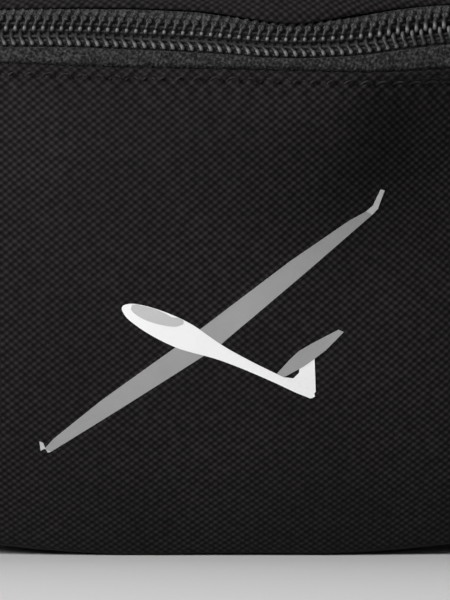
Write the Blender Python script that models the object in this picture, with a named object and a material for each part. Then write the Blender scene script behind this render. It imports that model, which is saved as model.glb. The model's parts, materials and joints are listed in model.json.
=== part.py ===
"""Black zipped hip bag with a padded belt, modelled at its real size.

Metres, +Z up. The front of the bag faces -Y and +X is to the right of somebody who
looks at it. The origin is on the floor, under the middle of the main compartment's
flat bottom. The belt is buckled into a loop behind the bag and stands on its edge.
"""

import math

import bmesh
import bpy
from mathutils import Matrix, Vector

MM = 0.001
GAP = 0.3 * MM

# Body of the bag, as it stands filled
HALF_WIDTH = 122 * MM
HEIGHT = 142 * MM
BACK_Y = 38 * MM
FACET_HALF = 22 * MM
BOTTOM_RADIUS = 455 * MM
BOTTOM_CORNER_RISE = 38 * MM
BOTTOM_CORNER_POWER = 6
ZIP_END_X = 103 * MM
END_FRONT = 10 * MM
END_BACK = 10 * MM
END_TOP = 12 * MM
END_BAND = 22 * MM
TOP_CRUST = 5 * MM
STATIONS = (0, 22, 44, 66, 84, 96, 103, 108, 113, 117, 120, 122)

# Zips, size 8 nylon coil: both run on arcs of one radius
ZIP_RADIUS = 420 * MM
CHAIN_HALF = 3.65 * MM
CHAIN_TOP = 2.5 * MM
TAPE_TOP = 1.0 * MM
CHAIN_ARC = 100 * MM
STOP_LENGTH = 2.5 * MM
SLIDER_ARC = 92.5 * MM
ZIP_STEPS = 14
FABRIC_EDGE = 1.7 * MM

# Band of the pocket zip, which leans back, and its middle
BAND_LOW_Z = 104.7 * MM
BAND_HIGH_Z = 117.6 * MM
BAND_TILT = math.radians(16)
POCKET_ZIP_Y = -36.51 * MM
POCKET_ZIP_Z = 112 * MM

# Main zip on top
MAIN_ZIP_Y = 8 * MM
MAIN_BAND_HALF = 6.9 * MM
MAIN_LEDGE_Z = HEIGHT - FABRIC_EDGE

# Slider and pull, in the slider's own frame: u along the zip, v across, n outward
PLATE_LOW = 2.8 * MM
PLATE_HIGH = 4.0 * MM
FLANGE_LOW = 1.3 * MM
FLANGE_WALL = 1.0 * MM
CROWN_AXIS_N = 7.3 * MM
CROWN_BAR = 0.7 * MM
LINK_HALF = 0.9 * MM
PULL_LENGTH = 30 * MM
TAB_START = 8.3 * MM
TAB_HALF_WIDTH = 4 * MM
TAB_HALF_THICK = 1.3 * MM
MAIN_PULL_DROOP = math.radians(18.5)

# Padded back, wings and belt
PAD_HALF_WIDTH = 104 * MM
PAD_LOW_Z = 8 * MM
PAD_HIGH_Z = 122 * MM
PAD_THICK = 5.2 * MM
PAD_LOW_CORNER = 42 * MM
PAD_HIGH_CORNER = 20 * MM
LOOP_CENTRE_Y = 110 * MM
LOOP_RADIUS = 165 * MM
WING_ROOT_X = PAD_HALF_WIDTH + 0.4 * MM
WING_ROOT_LOW = 30 * MM
WING_ROOT_HIGH = 114 * MM
WING_TIP_LOW = 37 * MM
WING_TIP_HIGH = 77 * MM
WING_TIP_THICK = 4 * MM
WING_STEPS = 12
WEB_HEIGHT = 38 * MM
WEB_THICK = 1.8 * MM
WEB_RADIUS = LOOP_RADIUS + WING_TIP_THICK / 2 + GAP + WEB_THICK / 2
LAYER_PITCH = WEB_THICK + 0.4 * MM
WEB_WING_Z = 57 * MM
WEB_BACK_Z = 25 * MM
WEB_LEVEL_ANGLE = math.radians(50)
WEB_WING_START = 0.42
TAIL_END_ANGLE = math.radians(38)
SEWN_END_ANGLE = math.radians(60)

# Side-release buckle at the back of the loop
BUCKLE_Y = LOOP_CENTRE_Y + 164.8 * MM
BUCKLE_HALF = 34 * MM
BUCKLE_HIGH_Z = 50 * MM
BAR_X = 29 * MM
BAR_RADIUS = 2.1 * MM
SPLIT_X = 9 * MM
SLOT_X = 23.7 * MM
HAIRPIN_RADIUS = BAR_RADIUS + GAP + WEB_THICK / 2
MERGE_X = 46 * MM

# Elastic keeper that holds the belt's tail
KEEPER_ANGLE = math.radians(64)
KEEPER_WIDTH = 14 * MM
KEEPER_WALL = 1.2 * MM
KEEPER_PLAY = 0.4 * MM

# Colours
FABRIC_BLACK = (0.014, 0.013, 0.014)
TAPE_BLACK = (0.024, 0.024, 0.025)
COIL_BLACK = (0.023, 0.023, 0.024)
WEB_BLACK = (0.013, 0.013, 0.014)
MESH_GREY = (0.022, 0.022, 0.024)
ELASTIC_BLACK = (0.012, 0.012, 0.012)
BUCKLE_BLACK = (0.016, 0.016, 0.017)
PULL_BLACK = (0.018, 0.018, 0.019)
GUNMETAL = (0.09, 0.09, 0.095)


def start_empty():
    """Remove whatever the file starts with."""
    for item in list(bpy.data.objects):
        bpy.data.objects.remove(item, do_unlink=True)


def material(name, colour, roughness, metallic=0.0):
    """Make a Principled material of one colour."""
    made = bpy.data.materials.new(name)
    made.use_nodes = True
    shader = made.node_tree.nodes["Principled BSDF"]
    shader.inputs["Base Color"].default_value = (*colour, 1.0)
    shader.inputs["Roughness"].default_value = roughness
    shader.inputs["Metallic"].default_value = metallic
    return made


def finish_object(name, bm, colour, roughness, metallic=0.0, origin=None):
    """Turn a bmesh into a named object with its own material and shading."""
    bmesh.ops.recalc_face_normals(bm, faces=bm.faces)
    mesh = bpy.data.meshes.new(name)
    bm.to_mesh(mesh)
    bm.free()
    item = bpy.data.objects.new(name, mesh)
    bpy.context.scene.collection.objects.link(item)
    mesh.materials.append(material(name, colour, roughness, metallic))
    mesh.shade_smooth()
    mesh.set_sharp_from_angle(angle=math.radians(35))
    if origin is not None:
        mesh.transform(Matrix.Translation(-origin))
        item.location = origin
    return item


def loft(rings, closed=False):
    """Skin a row of rings of equal length, capped at both ends unless closed."""
    bm = bmesh.new()
    rows = [[bm.verts.new(point) for point in ring] for ring in rings]
    count = len(rows[0])
    pairs = list(zip(rows, rows[1:]))
    if closed:
        pairs.append((rows[-1], rows[0]))
    for low, high in pairs:
        for i in range(count):
            j = (i + 1) % count
            bm.faces.new((low[i], low[j], high[j], high[i]))
    if not closed:
        bm.faces.new(rows[0])
        bm.faces.new(rows[-1])
    return bm


def ease(value):
    """Go from 0 to 1 with no corner at either end."""
    t = min(max(value, 0.0), 1.0)
    return t * t * (3 - 2 * t)


def arc_drop(radius, distance):
    """How far an arc has fallen away at a distance from its crown."""
    return radius - math.sqrt(radius * radius - distance * distance)


def end_share(x):
    """0 along the zips and 1 at the very side of the bag, on a quarter circle."""
    t = max(0.0, (abs(x) - ZIP_END_X) / (HALF_WIDTH - ZIP_END_X))
    return 1 - math.sqrt(max(0.0, 1 - t * t))


def bottom_z(x):
    """Height of the underside at x: a flat facet, then the arc and the corner."""
    arc = (x * x - FACET_HALF * FACET_HALF) / (2 * BOTTOM_RADIUS)
    corner = BOTTOM_CORNER_RISE * (abs(x) / HALF_WIDTH) ** BOTTOM_CORNER_POWER
    return max(0.0, arc) + (corner if abs(x) > FACET_HALF else 0.0)


def body_point(x, y, z, follow):
    """Carry a point of the middle profile to x.

    follow is 1 for what goes with the front's plan arc and 0 for what stays.
    """
    share = end_share(x)
    front = arc_drop(ZIP_RADIUS, x) + END_FRONT * share
    back = -END_BACK * share if y > MAIN_ZIP_Y else 0.0
    low = bottom_z(x)
    band = END_BAND * share
    top = HEIGHT - arc_drop(ZIP_RADIUS, x) - END_TOP * share
    crust = HEIGHT - TOP_CRUST
    if z <= BAND_LOW_Z:
        new_z = low + (BAND_LOW_Z - band - low) * z / BAND_LOW_Z
    elif z <= BAND_HIGH_Z + FABRIC_EDGE:
        new_z = z - band
    elif z <= crust:
        start = BAND_HIGH_Z + FABRIC_EDGE
        new_z = start - band + (top - TOP_CRUST - start + band) * (z - start) / (crust - start)
    else:
        new_z = top - (HEIGHT - z)
    return Vector((x, y + front * follow + back, new_z))


# Profiles in millimetres, at the middle of the bag: y, z, follow. The front leans in toward its foot.
POCKET_PROFILE = (
    (-7.0, 0.0, 0.35),
    (-13.0, 0.0, 0.5),
    (-18.5, 1.8, 0.6),
    (-22.6, 5.5, 0.65),
    (-26.0, 11.5, 0.7),
    (-29.2, 18.5, 0.75),
    (-33.2, 29.0, 0.8),
    (-36.6, 41.0, 0.9),
    (-39.2, 54.0, 0.95),
    (-40.8, 68.0, 1.0),
    (-41.3, 82.0, 1.0),
    (-41.0, 94.0, 1.0),
    (-40.3, 104.6, 1.0),
    (-38.62, 104.6, 1.0),
    (-34.95, 117.4, 1.0),
    (-27.0, 95.0, 0.8),
    (-20.0, 60.0, 0.6),
    (-13.6, 25.0, 0.45),
)
MAIN_PROFILE = (
    (-6.4, 0.0, 0.35),
    (-12.9, 25.0, 0.45),
    (-19.3, 60.0, 0.6),
    (-26.4, 95.0, 0.8),
    (-34.6, 117.9, 1.0),
    (-36.5, 117.9, 1.0),
    (-31.0, 124.6, 0.9),
    (-22.5, 132.8, 0.7),
    (-13.0, 138.6, 0.4),
    (-4.5, 141.2, 0.15),
    (1.1, 142.0, 0.0),
    (1.1, 140.3, 0.0),
    (14.9, 140.3, 0.0),
    (14.9, 142.0, 0.0),
    (22.0, 141.0, 0.0),
    (30.0, 137.4, 0.0),
    (36.0, 130.0, 0.0),
    (38.0, 120.0, 0.0),
    (38.0, 14.0, 0.0),
    (36.4, 6.0, 0.0),
    (30.0, 0.0, 0.0),
)


def body_solid(name, profile, colour):
    """Loft one compartment of the bag from side to side."""
    across = sorted({sign * s * MM for s in STATIONS for sign in (-1, 1)})
    rings = [[body_point(x, y * MM, z * MM, f) for y, z, f in profile] for x in across]
    finish_object(name, loft(rings), colour, 0.85)


def pocket_frame(arc):
    """Frame of the pocket zip at an arc length from its middle."""
    turn = Matrix.Rotation(arc / ZIP_RADIUS, 4, "Z")
    place = Matrix.Translation((0, POCKET_ZIP_Y + ZIP_RADIUS, POCKET_ZIP_Z))
    lean = Matrix.Translation((0, -ZIP_RADIUS, 0)) @ Matrix.Rotation(math.pi / 2 - BAND_TILT, 4, "X")
    return place @ turn @ lean


def main_frame(arc):
    """Frame of the main zip at an arc length from its middle."""
    turn = Matrix.Rotation(arc / ZIP_RADIUS, 4, "Y")
    place = Matrix.Translation((0, MAIN_ZIP_Y, MAIN_LEDGE_Z - ZIP_RADIUS))
    return place @ turn @ Matrix.Translation((0, 0, ZIP_RADIUS))


def zip_bar(name, frame, section, arcs, steps, colour, roughness, metallic=0.0):
    """Sweep a section (v, n) along a zip between two arc lengths."""
    first, last = arcs
    rings = []
    for i in range(steps + 1):
        here = frame(first + (last - first) * i / steps)
        rings.append([here @ Vector((0, v, n)) for v, n in section])
    finish_object(name, loft(rings), colour, roughness, metallic)


def build_zip(prefix, frame, tapes):
    """Tapes, coil chain and end stops of one zip."""
    for tape, low, high in tapes:
        flat = ((low, GAP), (high, GAP), (high, TAPE_TOP), (low, TAPE_TOP))
        zip_bar(f"{prefix}_{tape}", frame, flat, (-CHAIN_ARC, CHAIN_ARC), ZIP_STEPS, TAPE_BLACK, 0.85)
    crown = CHAIN_HALF - 1.0 * MM
    shoulder = CHAIN_TOP - 0.9 * MM
    coil = (
        (-CHAIN_HALF, GAP),
        (CHAIN_HALF, GAP),
        (CHAIN_HALF, shoulder),
        (crown, CHAIN_TOP),
        (-crown, CHAIN_TOP),
        (-CHAIN_HALF, shoulder),
    )
    zip_bar(f"{prefix}_chain", frame, coil, (-CHAIN_ARC, CHAIN_ARC), ZIP_STEPS, COIL_BLACK, 0.5)
    wide = CHAIN_HALF + 0.2 * MM
    block = ((-wide, GAP), (wide, GAP), (wide, CHAIN_TOP + 0.4 * MM), (-wide, CHAIN_TOP + 0.4 * MM))
    start = CHAIN_ARC + GAP
    for side, sign in (("left", -1), ("right", 1)):
        arcs = (sign * start, sign * (start + STOP_LENGTH))
        zip_bar(f"{prefix}_stop_{side}", frame, block, arcs, 1, GUNMETAL, 0.4, 1.0)


def join_cutter(item, cutter, operation):
    """Apply another object to this one with an exact Boolean modifier."""
    cutter.hide_render = True
    cutter.display_type = "WIRE"
    step = item.modifiers.new(cutter.name, "BOOLEAN")
    step.operation = operation
    step.solver = "EXACT"
    step.object = cutter


def outline_prism(name, outline, low, high, colour, roughness, metallic=0.0):
    """Extrude an outline (a, b) between two heights of its third axis."""
    bm = bmesh.new()
    face = bm.faces.new([bm.verts.new((a, b, low)) for a, b in outline])
    raised = bmesh.ops.extrude_face_region(bm, geom=[face])
    verts = [item for item in raised["geom"] if isinstance(item, bmesh.types.BMVert)]
    bmesh.ops.translate(bm, vec=(0, 0, high - low), verts=verts)
    return finish_object(name, bm, colour, roughness, metallic)


def slider_plate():
    """Top plate with its two turned-down flanges, wider at the nose."""
    rings = []
    for u, half in ((-7.0, 4.7), (-6.0, 4.95), (-1.0, 4.95), (2.5, 5.3), (5.5, 5.3), (7.0, 4.6)):
        w = half * MM
        inner = w - FLANGE_WALL
        section = (
            (-w, FLANGE_LOW),
            (-inner, FLANGE_LOW),
            (-inner, PLATE_LOW),
            (inner, PLATE_LOW),
            (inner, FLANGE_LOW),
            (w, FLANGE_LOW),
            (w, PLATE_HIGH - 0.5 * MM),
            (w - 0.7 * MM, PLATE_HIGH),
            (-w + 0.7 * MM, PLATE_HIGH),
            (-w, PLATE_HIGH - 0.5 * MM),
        )
        rings.append([Vector((u * MM, v, n)) for v, n in section])
    return loft(rings)


def build_slider(name, frame, centre):
    """Slider: plate, flanges and the crown bar that the pull hangs on.

    centre is the middle of the arc that the slider runs along, where its
    parent empty stands.
    """
    axis = bpy.data.objects.new(f"{name}_axis", None)
    bpy.context.scene.collection.objects.link(axis)
    axis.location = centre
    item = finish_object(name, slider_plate(), GUNMETAL, 0.4, 1.0)
    foot = PLATE_HIGH - 0.3 * MM
    top = CROWN_AXIS_N + CROWN_BAR
    under = CROWN_AXIS_N - CROWN_BAR
    arch = [
        (-6.0 * MM, foot), (-6.0 * MM, top - 1.4 * MM), (-4.6 * MM, top),
        (4.6 * MM, top), (6.0 * MM, top - 1.4 * MM), (6.0 * MM, foot),
        (4.5 * MM, foot), (4.5 * MM, under - 0.5 * MM), (4.0 * MM, under),
        (-4.0 * MM, under), (-4.5 * MM, under - 0.5 * MM), (-4.5 * MM, foot),
    ]
    crown = outline_prism(f"{name}_crown", arch, -CROWN_BAR, CROWN_BAR, GUNMETAL, 0.4, 1.0)
    crown.data.transform(Matrix.Rotation(math.pi / 2, 4, "X"))
    crown.parent = item
    join_cutter(item, crown, "UNION")
    item.parent = axis
    item.matrix_local = Matrix.Translation(-centre) @ frame


def build_pull(name, hinge, lean):
    """Pull: a link round the crown bar, its neck and a flat moulded tab.

    hinge is the slider's frame moved to the crown bar, and lean turns the
    hanging direction, -v, about the bar.
    """
    ring_out = 2.5 * MM
    ring_in = 1.4 * MM
    neck = 1.0 * MM
    shoulder = -4.2 * MM
    sunk = -TAB_START - 1.0 * MM
    turns = 10
    outline = []
    for i in range(turns + 1):
        angle = math.radians(-35 + 250 * i / turns)
        outline.append((ring_out * math.sin(angle), ring_out * math.cos(angle)))
    outline += [(shoulder, -neck), (sunk, -neck), (sunk, neck), (shoulder, neck)]
    upright = Matrix(((0, 0, 1, 0), (1, 0, 0, 0), (0, 1, 0, 0), (0, 0, 0, 1)))
    link = outline_prism(name, outline, -LINK_HALF, LINK_HALF, PULL_BLACK, 0.55)
    link.data.transform(upright)
    eye = [(ring_in * math.cos(math.tau * i / 12), ring_in * math.sin(math.tau * i / 12)) for i in range(12)]
    hole = outline_prism(f"{name}_eye", eye, -2 * LINK_HALF, 2 * LINK_HALF, PULL_BLACK, 0.55)
    hole.data.transform(upright)
    half = TAB_HALF_WIDTH
    cut = 1.6 * MM
    end = -PULL_LENGTH
    shape = [
        (-half + cut, -TAB_START), (-half, -TAB_START - cut), (-half, end + cut), (-half + cut, end),
        (half - cut, end), (half, end + cut), (half, -TAB_START - cut), (half - cut, -TAB_START),
    ]
    tab = outline_prism(f"{name}_tab", shape, -TAB_HALF_THICK, TAB_HALF_THICK, PULL_BLACK, 0.55)
    for part, operation in ((hole, "DIFFERENCE"), (tab, "UNION")):
        part.parent = link
        join_cutter(link, part, operation)
    link.matrix_world = hinge @ Matrix.Rotation(lean, 4, "X")


def rounded_outline(half, low, high, low_corner, high_corner, steps=6):
    """Rectangle with round corners, as (x, z) points."""
    points = []
    corners = (
        (half - low_corner, low + low_corner, low_corner, -90),
        (half - high_corner, high - high_corner, high_corner, 0),
        (-half + high_corner, high - high_corner, high_corner, 90),
        (-half + low_corner, low + low_corner, low_corner, 180),
    )
    for cx, cz, radius, start in corners:
        for i in range(steps + 1):
            angle = math.radians(start + 90 * i / steps)
            points.append((cx + radius * math.cos(angle), cz + radius * math.sin(angle)))
    return points


def build_back_panel():
    """Padded back, with its edges eased on the outer side."""
    rings = []
    for depth, inset in ((GAP, 1.2 * MM), (1.5 * MM, 0), (PAD_THICK - 1.6 * MM, 0), (PAD_THICK, 2 * MM)):
        outline = rounded_outline(
            PAD_HALF_WIDTH - inset, PAD_LOW_Z + inset, PAD_HIGH_Z - inset,
            PAD_LOW_CORNER - inset, PAD_HIGH_CORNER - inset,
        )
        rings.append([Vector((x, BACK_Y + depth, z)) for x, z in outline])
    finish_object("back_panel", loft(rings), MESH_GREY, 0.9)


def wing_plan(t):
    """Middle line of the right wing in plan, with its outward normal."""
    angle = t * math.pi / 2
    wide = LOOP_RADIUS - WING_ROOT_X
    deep = LOOP_CENTRE_Y - BACK_Y - (GAP + PAD_THICK) / 2
    place = Vector((WING_ROOT_X + wide * math.sin(angle), LOOP_CENTRE_Y - deep * math.cos(angle)))
    along = Vector((wide * math.cos(angle), deep * math.sin(angle))).normalized()
    return place, Vector((along.y, -along.x))


def wing_half_thick(t):
    """Half the thickness of a wing at t, 0 at the bag and 1 at its tip."""
    root = (PAD_THICK - GAP) / 2
    return root + (WING_TIP_THICK / 2 - root) * t


def build_wing(name, sign):
    """Padded wing that tapers from the bag's side to the belt."""
    rings = []
    for i in range(WING_STEPS + 1):
        t = i / WING_STEPS
        place, normal = wing_plan(t)
        half = wing_half_thick(t)
        taper = ease(t * 1.05)
        low = WING_ROOT_LOW + (WING_TIP_LOW - WING_ROOT_LOW) * taper
        high = WING_ROOT_HIGH + (WING_TIP_HIGH - WING_ROOT_HIGH) * taper
        edge = 2.5 * MM
        section = (
            (-half * 0.4, low), (half * 0.4, low), (half, low + edge), (half, high - edge),
            (half * 0.4, high), (-half * 0.4, high), (-half, high - edge), (-half, low + edge),
        )
        ring = []
        for out, z in section:
            spot = place + normal * out
            ring.append(Vector((sign * spot.x, spot.y, z)))
        rings.append(ring)
    finish_object(name, loft(rings), FABRIC_BLACK, 0.85)


def loop_point(radius, angle):
    """Point of the belt's rear arc, 0 at its right end and 90 degrees at the back."""
    return Vector((radius * math.cos(angle), LOOP_CENTRE_Y + radius * math.sin(angle)))


def belt_z(angle):
    """Height of the belt's middle line along the rear arc."""
    return WEB_WING_Z + (WEB_BACK_Z - WEB_WING_Z) * ease(angle / WEB_LEVEL_ANGLE)


def near_buckle(x, line_y, radius):
    """Let a layer of belt leave its arc for the level of the buckle's bar."""
    arc_y = LOOP_CENTRE_Y + math.sqrt(radius * radius - x * x)
    straight = BAR_X + 4 * MM
    share = ease((x - straight) / (MERGE_X - straight))
    return Vector((x, line_y + (arc_y - line_y) * share))


def belt_path(return_angle):
    """Plan points of one half of the belt, from its wing round the buckle's bar and back."""
    points = []
    steps = 8
    for i in range(steps):
        t = WEB_WING_START + (1 - WEB_WING_START) * i / steps
        place, normal = wing_plan(t)
        spot = place + normal * (wing_half_thick(t) + GAP + WEB_THICK / 2)
        points.append((spot, WEB_WING_Z))
    leave = math.acos(MERGE_X / WEB_RADIUS)
    steps = 18
    for i in range(steps):
        angle = leave * i / steps
        points.append((loop_point(WEB_RADIUS, angle), belt_z(angle)))
    steps = 6
    for i in range(steps):
        x = MERGE_X + (BAR_X - MERGE_X) * i / steps
        points.append((near_buckle(x, BUCKLE_Y - HAIRPIN_RADIUS, WEB_RADIUS), WEB_BACK_Z))
    for i in range(9):
        angle = math.pi * i / 8
        x = BAR_X - HAIRPIN_RADIUS * math.sin(angle)
        points.append((Vector((x, BUCKLE_Y - HAIRPIN_RADIUS * math.cos(angle))), WEB_BACK_Z))
    outer = WEB_RADIUS + LAYER_PITCH
    for i in range(1, steps + 1):
        x = BAR_X + (MERGE_X - BAR_X) * i / steps
        points.append((near_buckle(x, BUCKLE_Y + HAIRPIN_RADIUS, outer), WEB_BACK_Z))
    start = math.acos(MERGE_X / outer)
    steps = max(2, round((start - return_angle) / math.radians(3.5)))
    for i in range(1, steps + 1):
        angle = start + (return_angle - start) * i / steps
        points.append((loop_point(outer, angle), belt_z(angle)))
    return points


def build_webbing(name, sign, return_angle):
    """Flat woven belt strip, standing on its edge."""
    path = belt_path(return_angle)
    rings = []
    for i, (spot, z) in enumerate(path):
        before = path[max(i - 1, 0)][0]
        after = path[min(i + 1, len(path) - 1)][0]
        along = (after - before).normalized()
        side = Vector((along.y, -along.x)) * (WEB_THICK / 2)
        ring = []
        for out, up in ((-1, -0.5), (1, -0.5), (1, 0.5), (-1, 0.5)):
            flat = spot + side * out
            ring.append(Vector((sign * flat.x, flat.y, z + up * WEB_HEIGHT)))
        rings.append(ring)
    finish_object(name, loft(rings), WEB_BLACK, 0.8)


def block(name, x_range, y_range, z_range, colour, corner=0.0):
    """Rectangular block between two corners, with its edges rounded if asked."""
    bm = bmesh.new()
    bmesh.ops.create_cube(bm, size=1.0)
    for vert in bm.verts:
        for axis, (low, high) in enumerate((x_range, y_range, z_range)):
            vert.co[axis] = high if vert.co[axis] > 0 else low
    if corner:
        bmesh.ops.bevel(bm, geom=bm.edges[:], offset=corner, segments=2, profile=0.5, affect="EDGES")
    return finish_object(name, bm, colour, 0.45)


def webbing_bar(item, sign):
    """Open the end of a buckle half and set the round bar that the belt wraps."""
    slot_low = WEB_BACK_Z - WEB_HEIGHT / 2 - 0.5 * MM
    slot_high = WEB_BACK_Z + WEB_HEIGHT / 2 + 0.5 * MM
    x_range = sorted((sign * SLOT_X, sign * (BUCKLE_HALF + 2 * MM)))
    deep = (BUCKLE_Y - 9 * MM, BUCKLE_Y + 9 * MM)
    opening = block(f"{item.name}_opening", x_range, deep, (slot_low, slot_high), BUCKLE_BLACK)
    join_cutter(item, opening, "DIFFERENCE")
    ring = [(BAR_RADIUS * math.cos(math.tau * i / 12), BAR_RADIUS * math.sin(math.tau * i / 12)) for i in range(12)]
    outline = [(sign * BAR_X + x, BUCKLE_Y + y) for x, y in ring]
    bar_ends = (slot_low - 2 * MM, slot_high + 2 * MM)
    bar = outline_prism(f"{item.name}_bar", outline, *bar_ends, BUCKLE_BLACK, 0.45)
    join_cutter(item, bar, "UNION")


def build_socket():
    """Socket half of the buckle, hollow, with a window each side for the catches."""
    half = 5.6 * MM
    item = block(
        "buckle_socket", (-BUCKLE_HALF, SPLIT_X), (BUCKLE_Y - half, BUCKLE_Y + half),
        (0, BUCKLE_HIGH_Z), BUCKLE_BLACK, 1.6 * MM,
    )
    webbing_bar(item, -1)
    wall = 1.6 * MM
    inside = block(
        "socket_inside", (-21 * MM, SPLIT_X + 2 * MM), (BUCKLE_Y - half + wall, BUCKLE_Y + half - wall),
        (3.4 * MM, BUCKLE_HIGH_Z - 3.4 * MM), BUCKLE_BLACK,
    )
    join_cutter(item, inside, "DIFFERENCE")
    window = block(
        "socket_windows", (-19 * MM, -6 * MM), (BUCKLE_Y - 3.6 * MM, BUCKLE_Y + 3.6 * MM),
        (-2 * MM, BUCKLE_HIGH_Z + 2 * MM), BUCKLE_BLACK,
    )
    join_cutter(item, window, "DIFFERENCE")


def prong_outline():
    """Half of the plug's prongs as (x, height above the middle), for the upper arm."""
    return (
        (12, 13.5), (-4, 15.5), (-17.5, 16.5), (-18.6, 18.5), (-17.5, 22.5),
        (-7.4, 24.2), (-6.6, 23.2), (-6.6, 20.4), (6, 18.8), (12, 18.8),
    )


def build_plug():
    """Plug half: base with the end bar, a middle guide and two sprung arms."""
    base_half = 5.2 * MM
    item = block(
        "buckle_plug", (SPLIT_X + GAP, BUCKLE_HALF), (BUCKLE_Y - base_half, BUCKLE_Y + base_half),
        (0, BUCKLE_HIGH_Z), BUCKLE_BLACK, 1.6 * MM,
    )
    webbing_bar(item, 1)
    middle = BUCKLE_HIGH_Z / 2
    thick = 3.0 * MM
    for arm, sign in (("upper", 1), ("lower", -1)):
        outline = [(x * MM, sign * h * MM) for x, h in prong_outline()]
        prong = outline_prism(f"plug_arm_{arm}", outline, -thick, thick, BUCKLE_BLACK, 0.45)
        prong.data.transform(Matrix.Rotation(math.pi / 2, 4, "X"))
        prong.location = (0, BUCKLE_Y, middle)
        join_cutter(item, prong, "UNION")
    guide = block(
        "plug_guide", (-18 * MM, 12 * MM), (BUCKLE_Y - 3.2 * MM, BUCKLE_Y + 3.2 * MM),
        (middle - 4 * MM, middle + 4 * MM), BUCKLE_BLACK,
    )
    join_cutter(item, guide, "UNION")


def build_keeper():
    """Elastic loop round the belt and its tail, free to slide along the arc."""
    centre = Vector((0, LOOP_CENTRE_Y, 0))
    inner = WEB_RADIUS - WEB_THICK / 2 - KEEPER_PLAY
    outer = WEB_RADIUS + LAYER_PITCH + WEB_THICK / 2 + KEEPER_PLAY
    low = WEB_BACK_Z - WEB_HEIGHT / 2 - KEEPER_PLAY
    high = WEB_BACK_Z + WEB_HEIGHT / 2 + KEEPER_PLAY
    wall = KEEPER_WALL
    loop = (
        ((inner, low), (inner - wall, low - wall * 0.4)),
        ((inner, high), (inner - wall, high + wall * 0.4)),
        ((inner + 0.3 * MM, high), (inner - wall * 0.3, high + wall)),
        ((outer - 0.3 * MM, high), (outer + wall * 0.3, high + wall)),
        ((outer, high), (outer + wall, high + wall * 0.4)),
        ((outer, low), (outer + wall, low - wall * 0.4)),
        ((outer - 0.3 * MM, low), (outer + wall * 0.3, low - wall)),
        ((inner + 0.3 * MM, low), (inner - wall * 0.3, low - wall)),
    )
    half = KEEPER_WIDTH / 2 / WEB_RADIUS
    angles = [KEEPER_ANGLE - half, KEEPER_ANGLE, KEEPER_ANGLE + half]
    rings = []
    for near, far in loop:
        ring = []
        for radius_z, order in ((near, angles), (far, angles[::-1])):
            radius, z = radius_z
            for angle in order:
                flat = loop_point(radius, angle)
                ring.append(Vector((flat.x, flat.y, z)))
        rings.append(ring)
    finish_object("strap_keeper", loft(rings, closed=True), ELASTIC_BLACK, 0.9, origin=centre)


def main():
    """Build every piece of the bag."""
    start_empty()
    body_solid("main_compartment", MAIN_PROFILE, FABRIC_BLACK)
    body_solid("front_pocket", POCKET_PROFILE, FABRIC_BLACK)
    build_back_panel()

    pocket_tapes = (
        ("tape_lower", -7.25 * MM, -CHAIN_HALF - GAP),
        ("tape_upper", CHAIN_HALF + GAP, 5.5 * MM),
    )
    build_zip("pocket", pocket_frame, pocket_tapes)
    main_edge = MAIN_BAND_HALF - GAP
    main_tapes = (
        ("tape_front", -main_edge, -CHAIN_HALF - GAP),
        ("tape_back", CHAIN_HALF + GAP, main_edge),
    )
    build_zip("main", main_frame, main_tapes)

    crown = Matrix.Translation((0, 0, CROWN_AXIS_N))
    pocket_rest = pocket_frame(SLIDER_ARC)
    pocket_centre = Vector((0, POCKET_ZIP_Y + ZIP_RADIUS, POCKET_ZIP_Z))
    build_slider("pocket_slider", pocket_rest, pocket_centre)
    build_pull("pocket_pull", pocket_rest @ crown, BAND_TILT)
    main_rest = main_frame(SLIDER_ARC)
    main_centre = Vector((0, MAIN_ZIP_Y, MAIN_LEDGE_Z - ZIP_RADIUS))
    build_slider("main_slider", main_rest, main_centre)
    build_pull("main_pull", main_rest @ crown, MAIN_PULL_DROOP)

    build_wing("wing_left", -1)
    build_wing("wing_right", 1)
    build_webbing("webbing_left", -1, SEWN_END_ANGLE)
    build_webbing("webbing_right", 1, TAIL_END_ANGLE)
    build_socket()
    build_plug()
    build_keeper()


main()
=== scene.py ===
"""Black woven hip bag: its shell, coil zips, print, padding, belt and buckle.

The classes work in millimetres in the part's frame: +Z is up, the front faces -Y,
and the origin is on the floor under the bag. Meshes are written in metres.
"""

from __future__ import annotations

import json
import logging
import math
from dataclasses import dataclass, field
from enum import Enum
from typing import Sequence, Union

import bmesh
import bpy
import numpy as np
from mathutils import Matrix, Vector, noise
from mathutils.bvhtree import BVHTree
from mathutils.geometry import delaunay_2d_cdt

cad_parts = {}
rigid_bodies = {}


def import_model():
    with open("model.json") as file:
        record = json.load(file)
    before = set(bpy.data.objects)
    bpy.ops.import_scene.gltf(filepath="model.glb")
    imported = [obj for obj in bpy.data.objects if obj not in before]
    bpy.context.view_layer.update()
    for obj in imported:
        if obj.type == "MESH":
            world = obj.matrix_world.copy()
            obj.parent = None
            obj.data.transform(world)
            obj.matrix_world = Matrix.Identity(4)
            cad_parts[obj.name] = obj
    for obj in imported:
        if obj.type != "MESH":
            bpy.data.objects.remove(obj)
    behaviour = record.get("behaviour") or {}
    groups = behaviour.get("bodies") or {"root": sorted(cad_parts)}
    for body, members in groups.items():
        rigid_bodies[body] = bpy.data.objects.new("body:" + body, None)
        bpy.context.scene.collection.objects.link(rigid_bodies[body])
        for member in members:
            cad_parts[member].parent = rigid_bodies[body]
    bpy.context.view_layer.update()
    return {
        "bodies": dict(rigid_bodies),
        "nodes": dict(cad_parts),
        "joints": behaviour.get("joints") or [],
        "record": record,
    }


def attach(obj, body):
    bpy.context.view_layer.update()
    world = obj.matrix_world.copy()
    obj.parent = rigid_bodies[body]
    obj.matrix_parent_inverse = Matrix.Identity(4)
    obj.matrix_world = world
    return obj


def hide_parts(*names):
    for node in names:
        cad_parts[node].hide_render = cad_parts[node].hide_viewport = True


LOG = logging.getLogger("hip_bag")
MM = 0.001
UV_UNIT = 100.0  # millimetres in one unit of a fabric UV map

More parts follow.
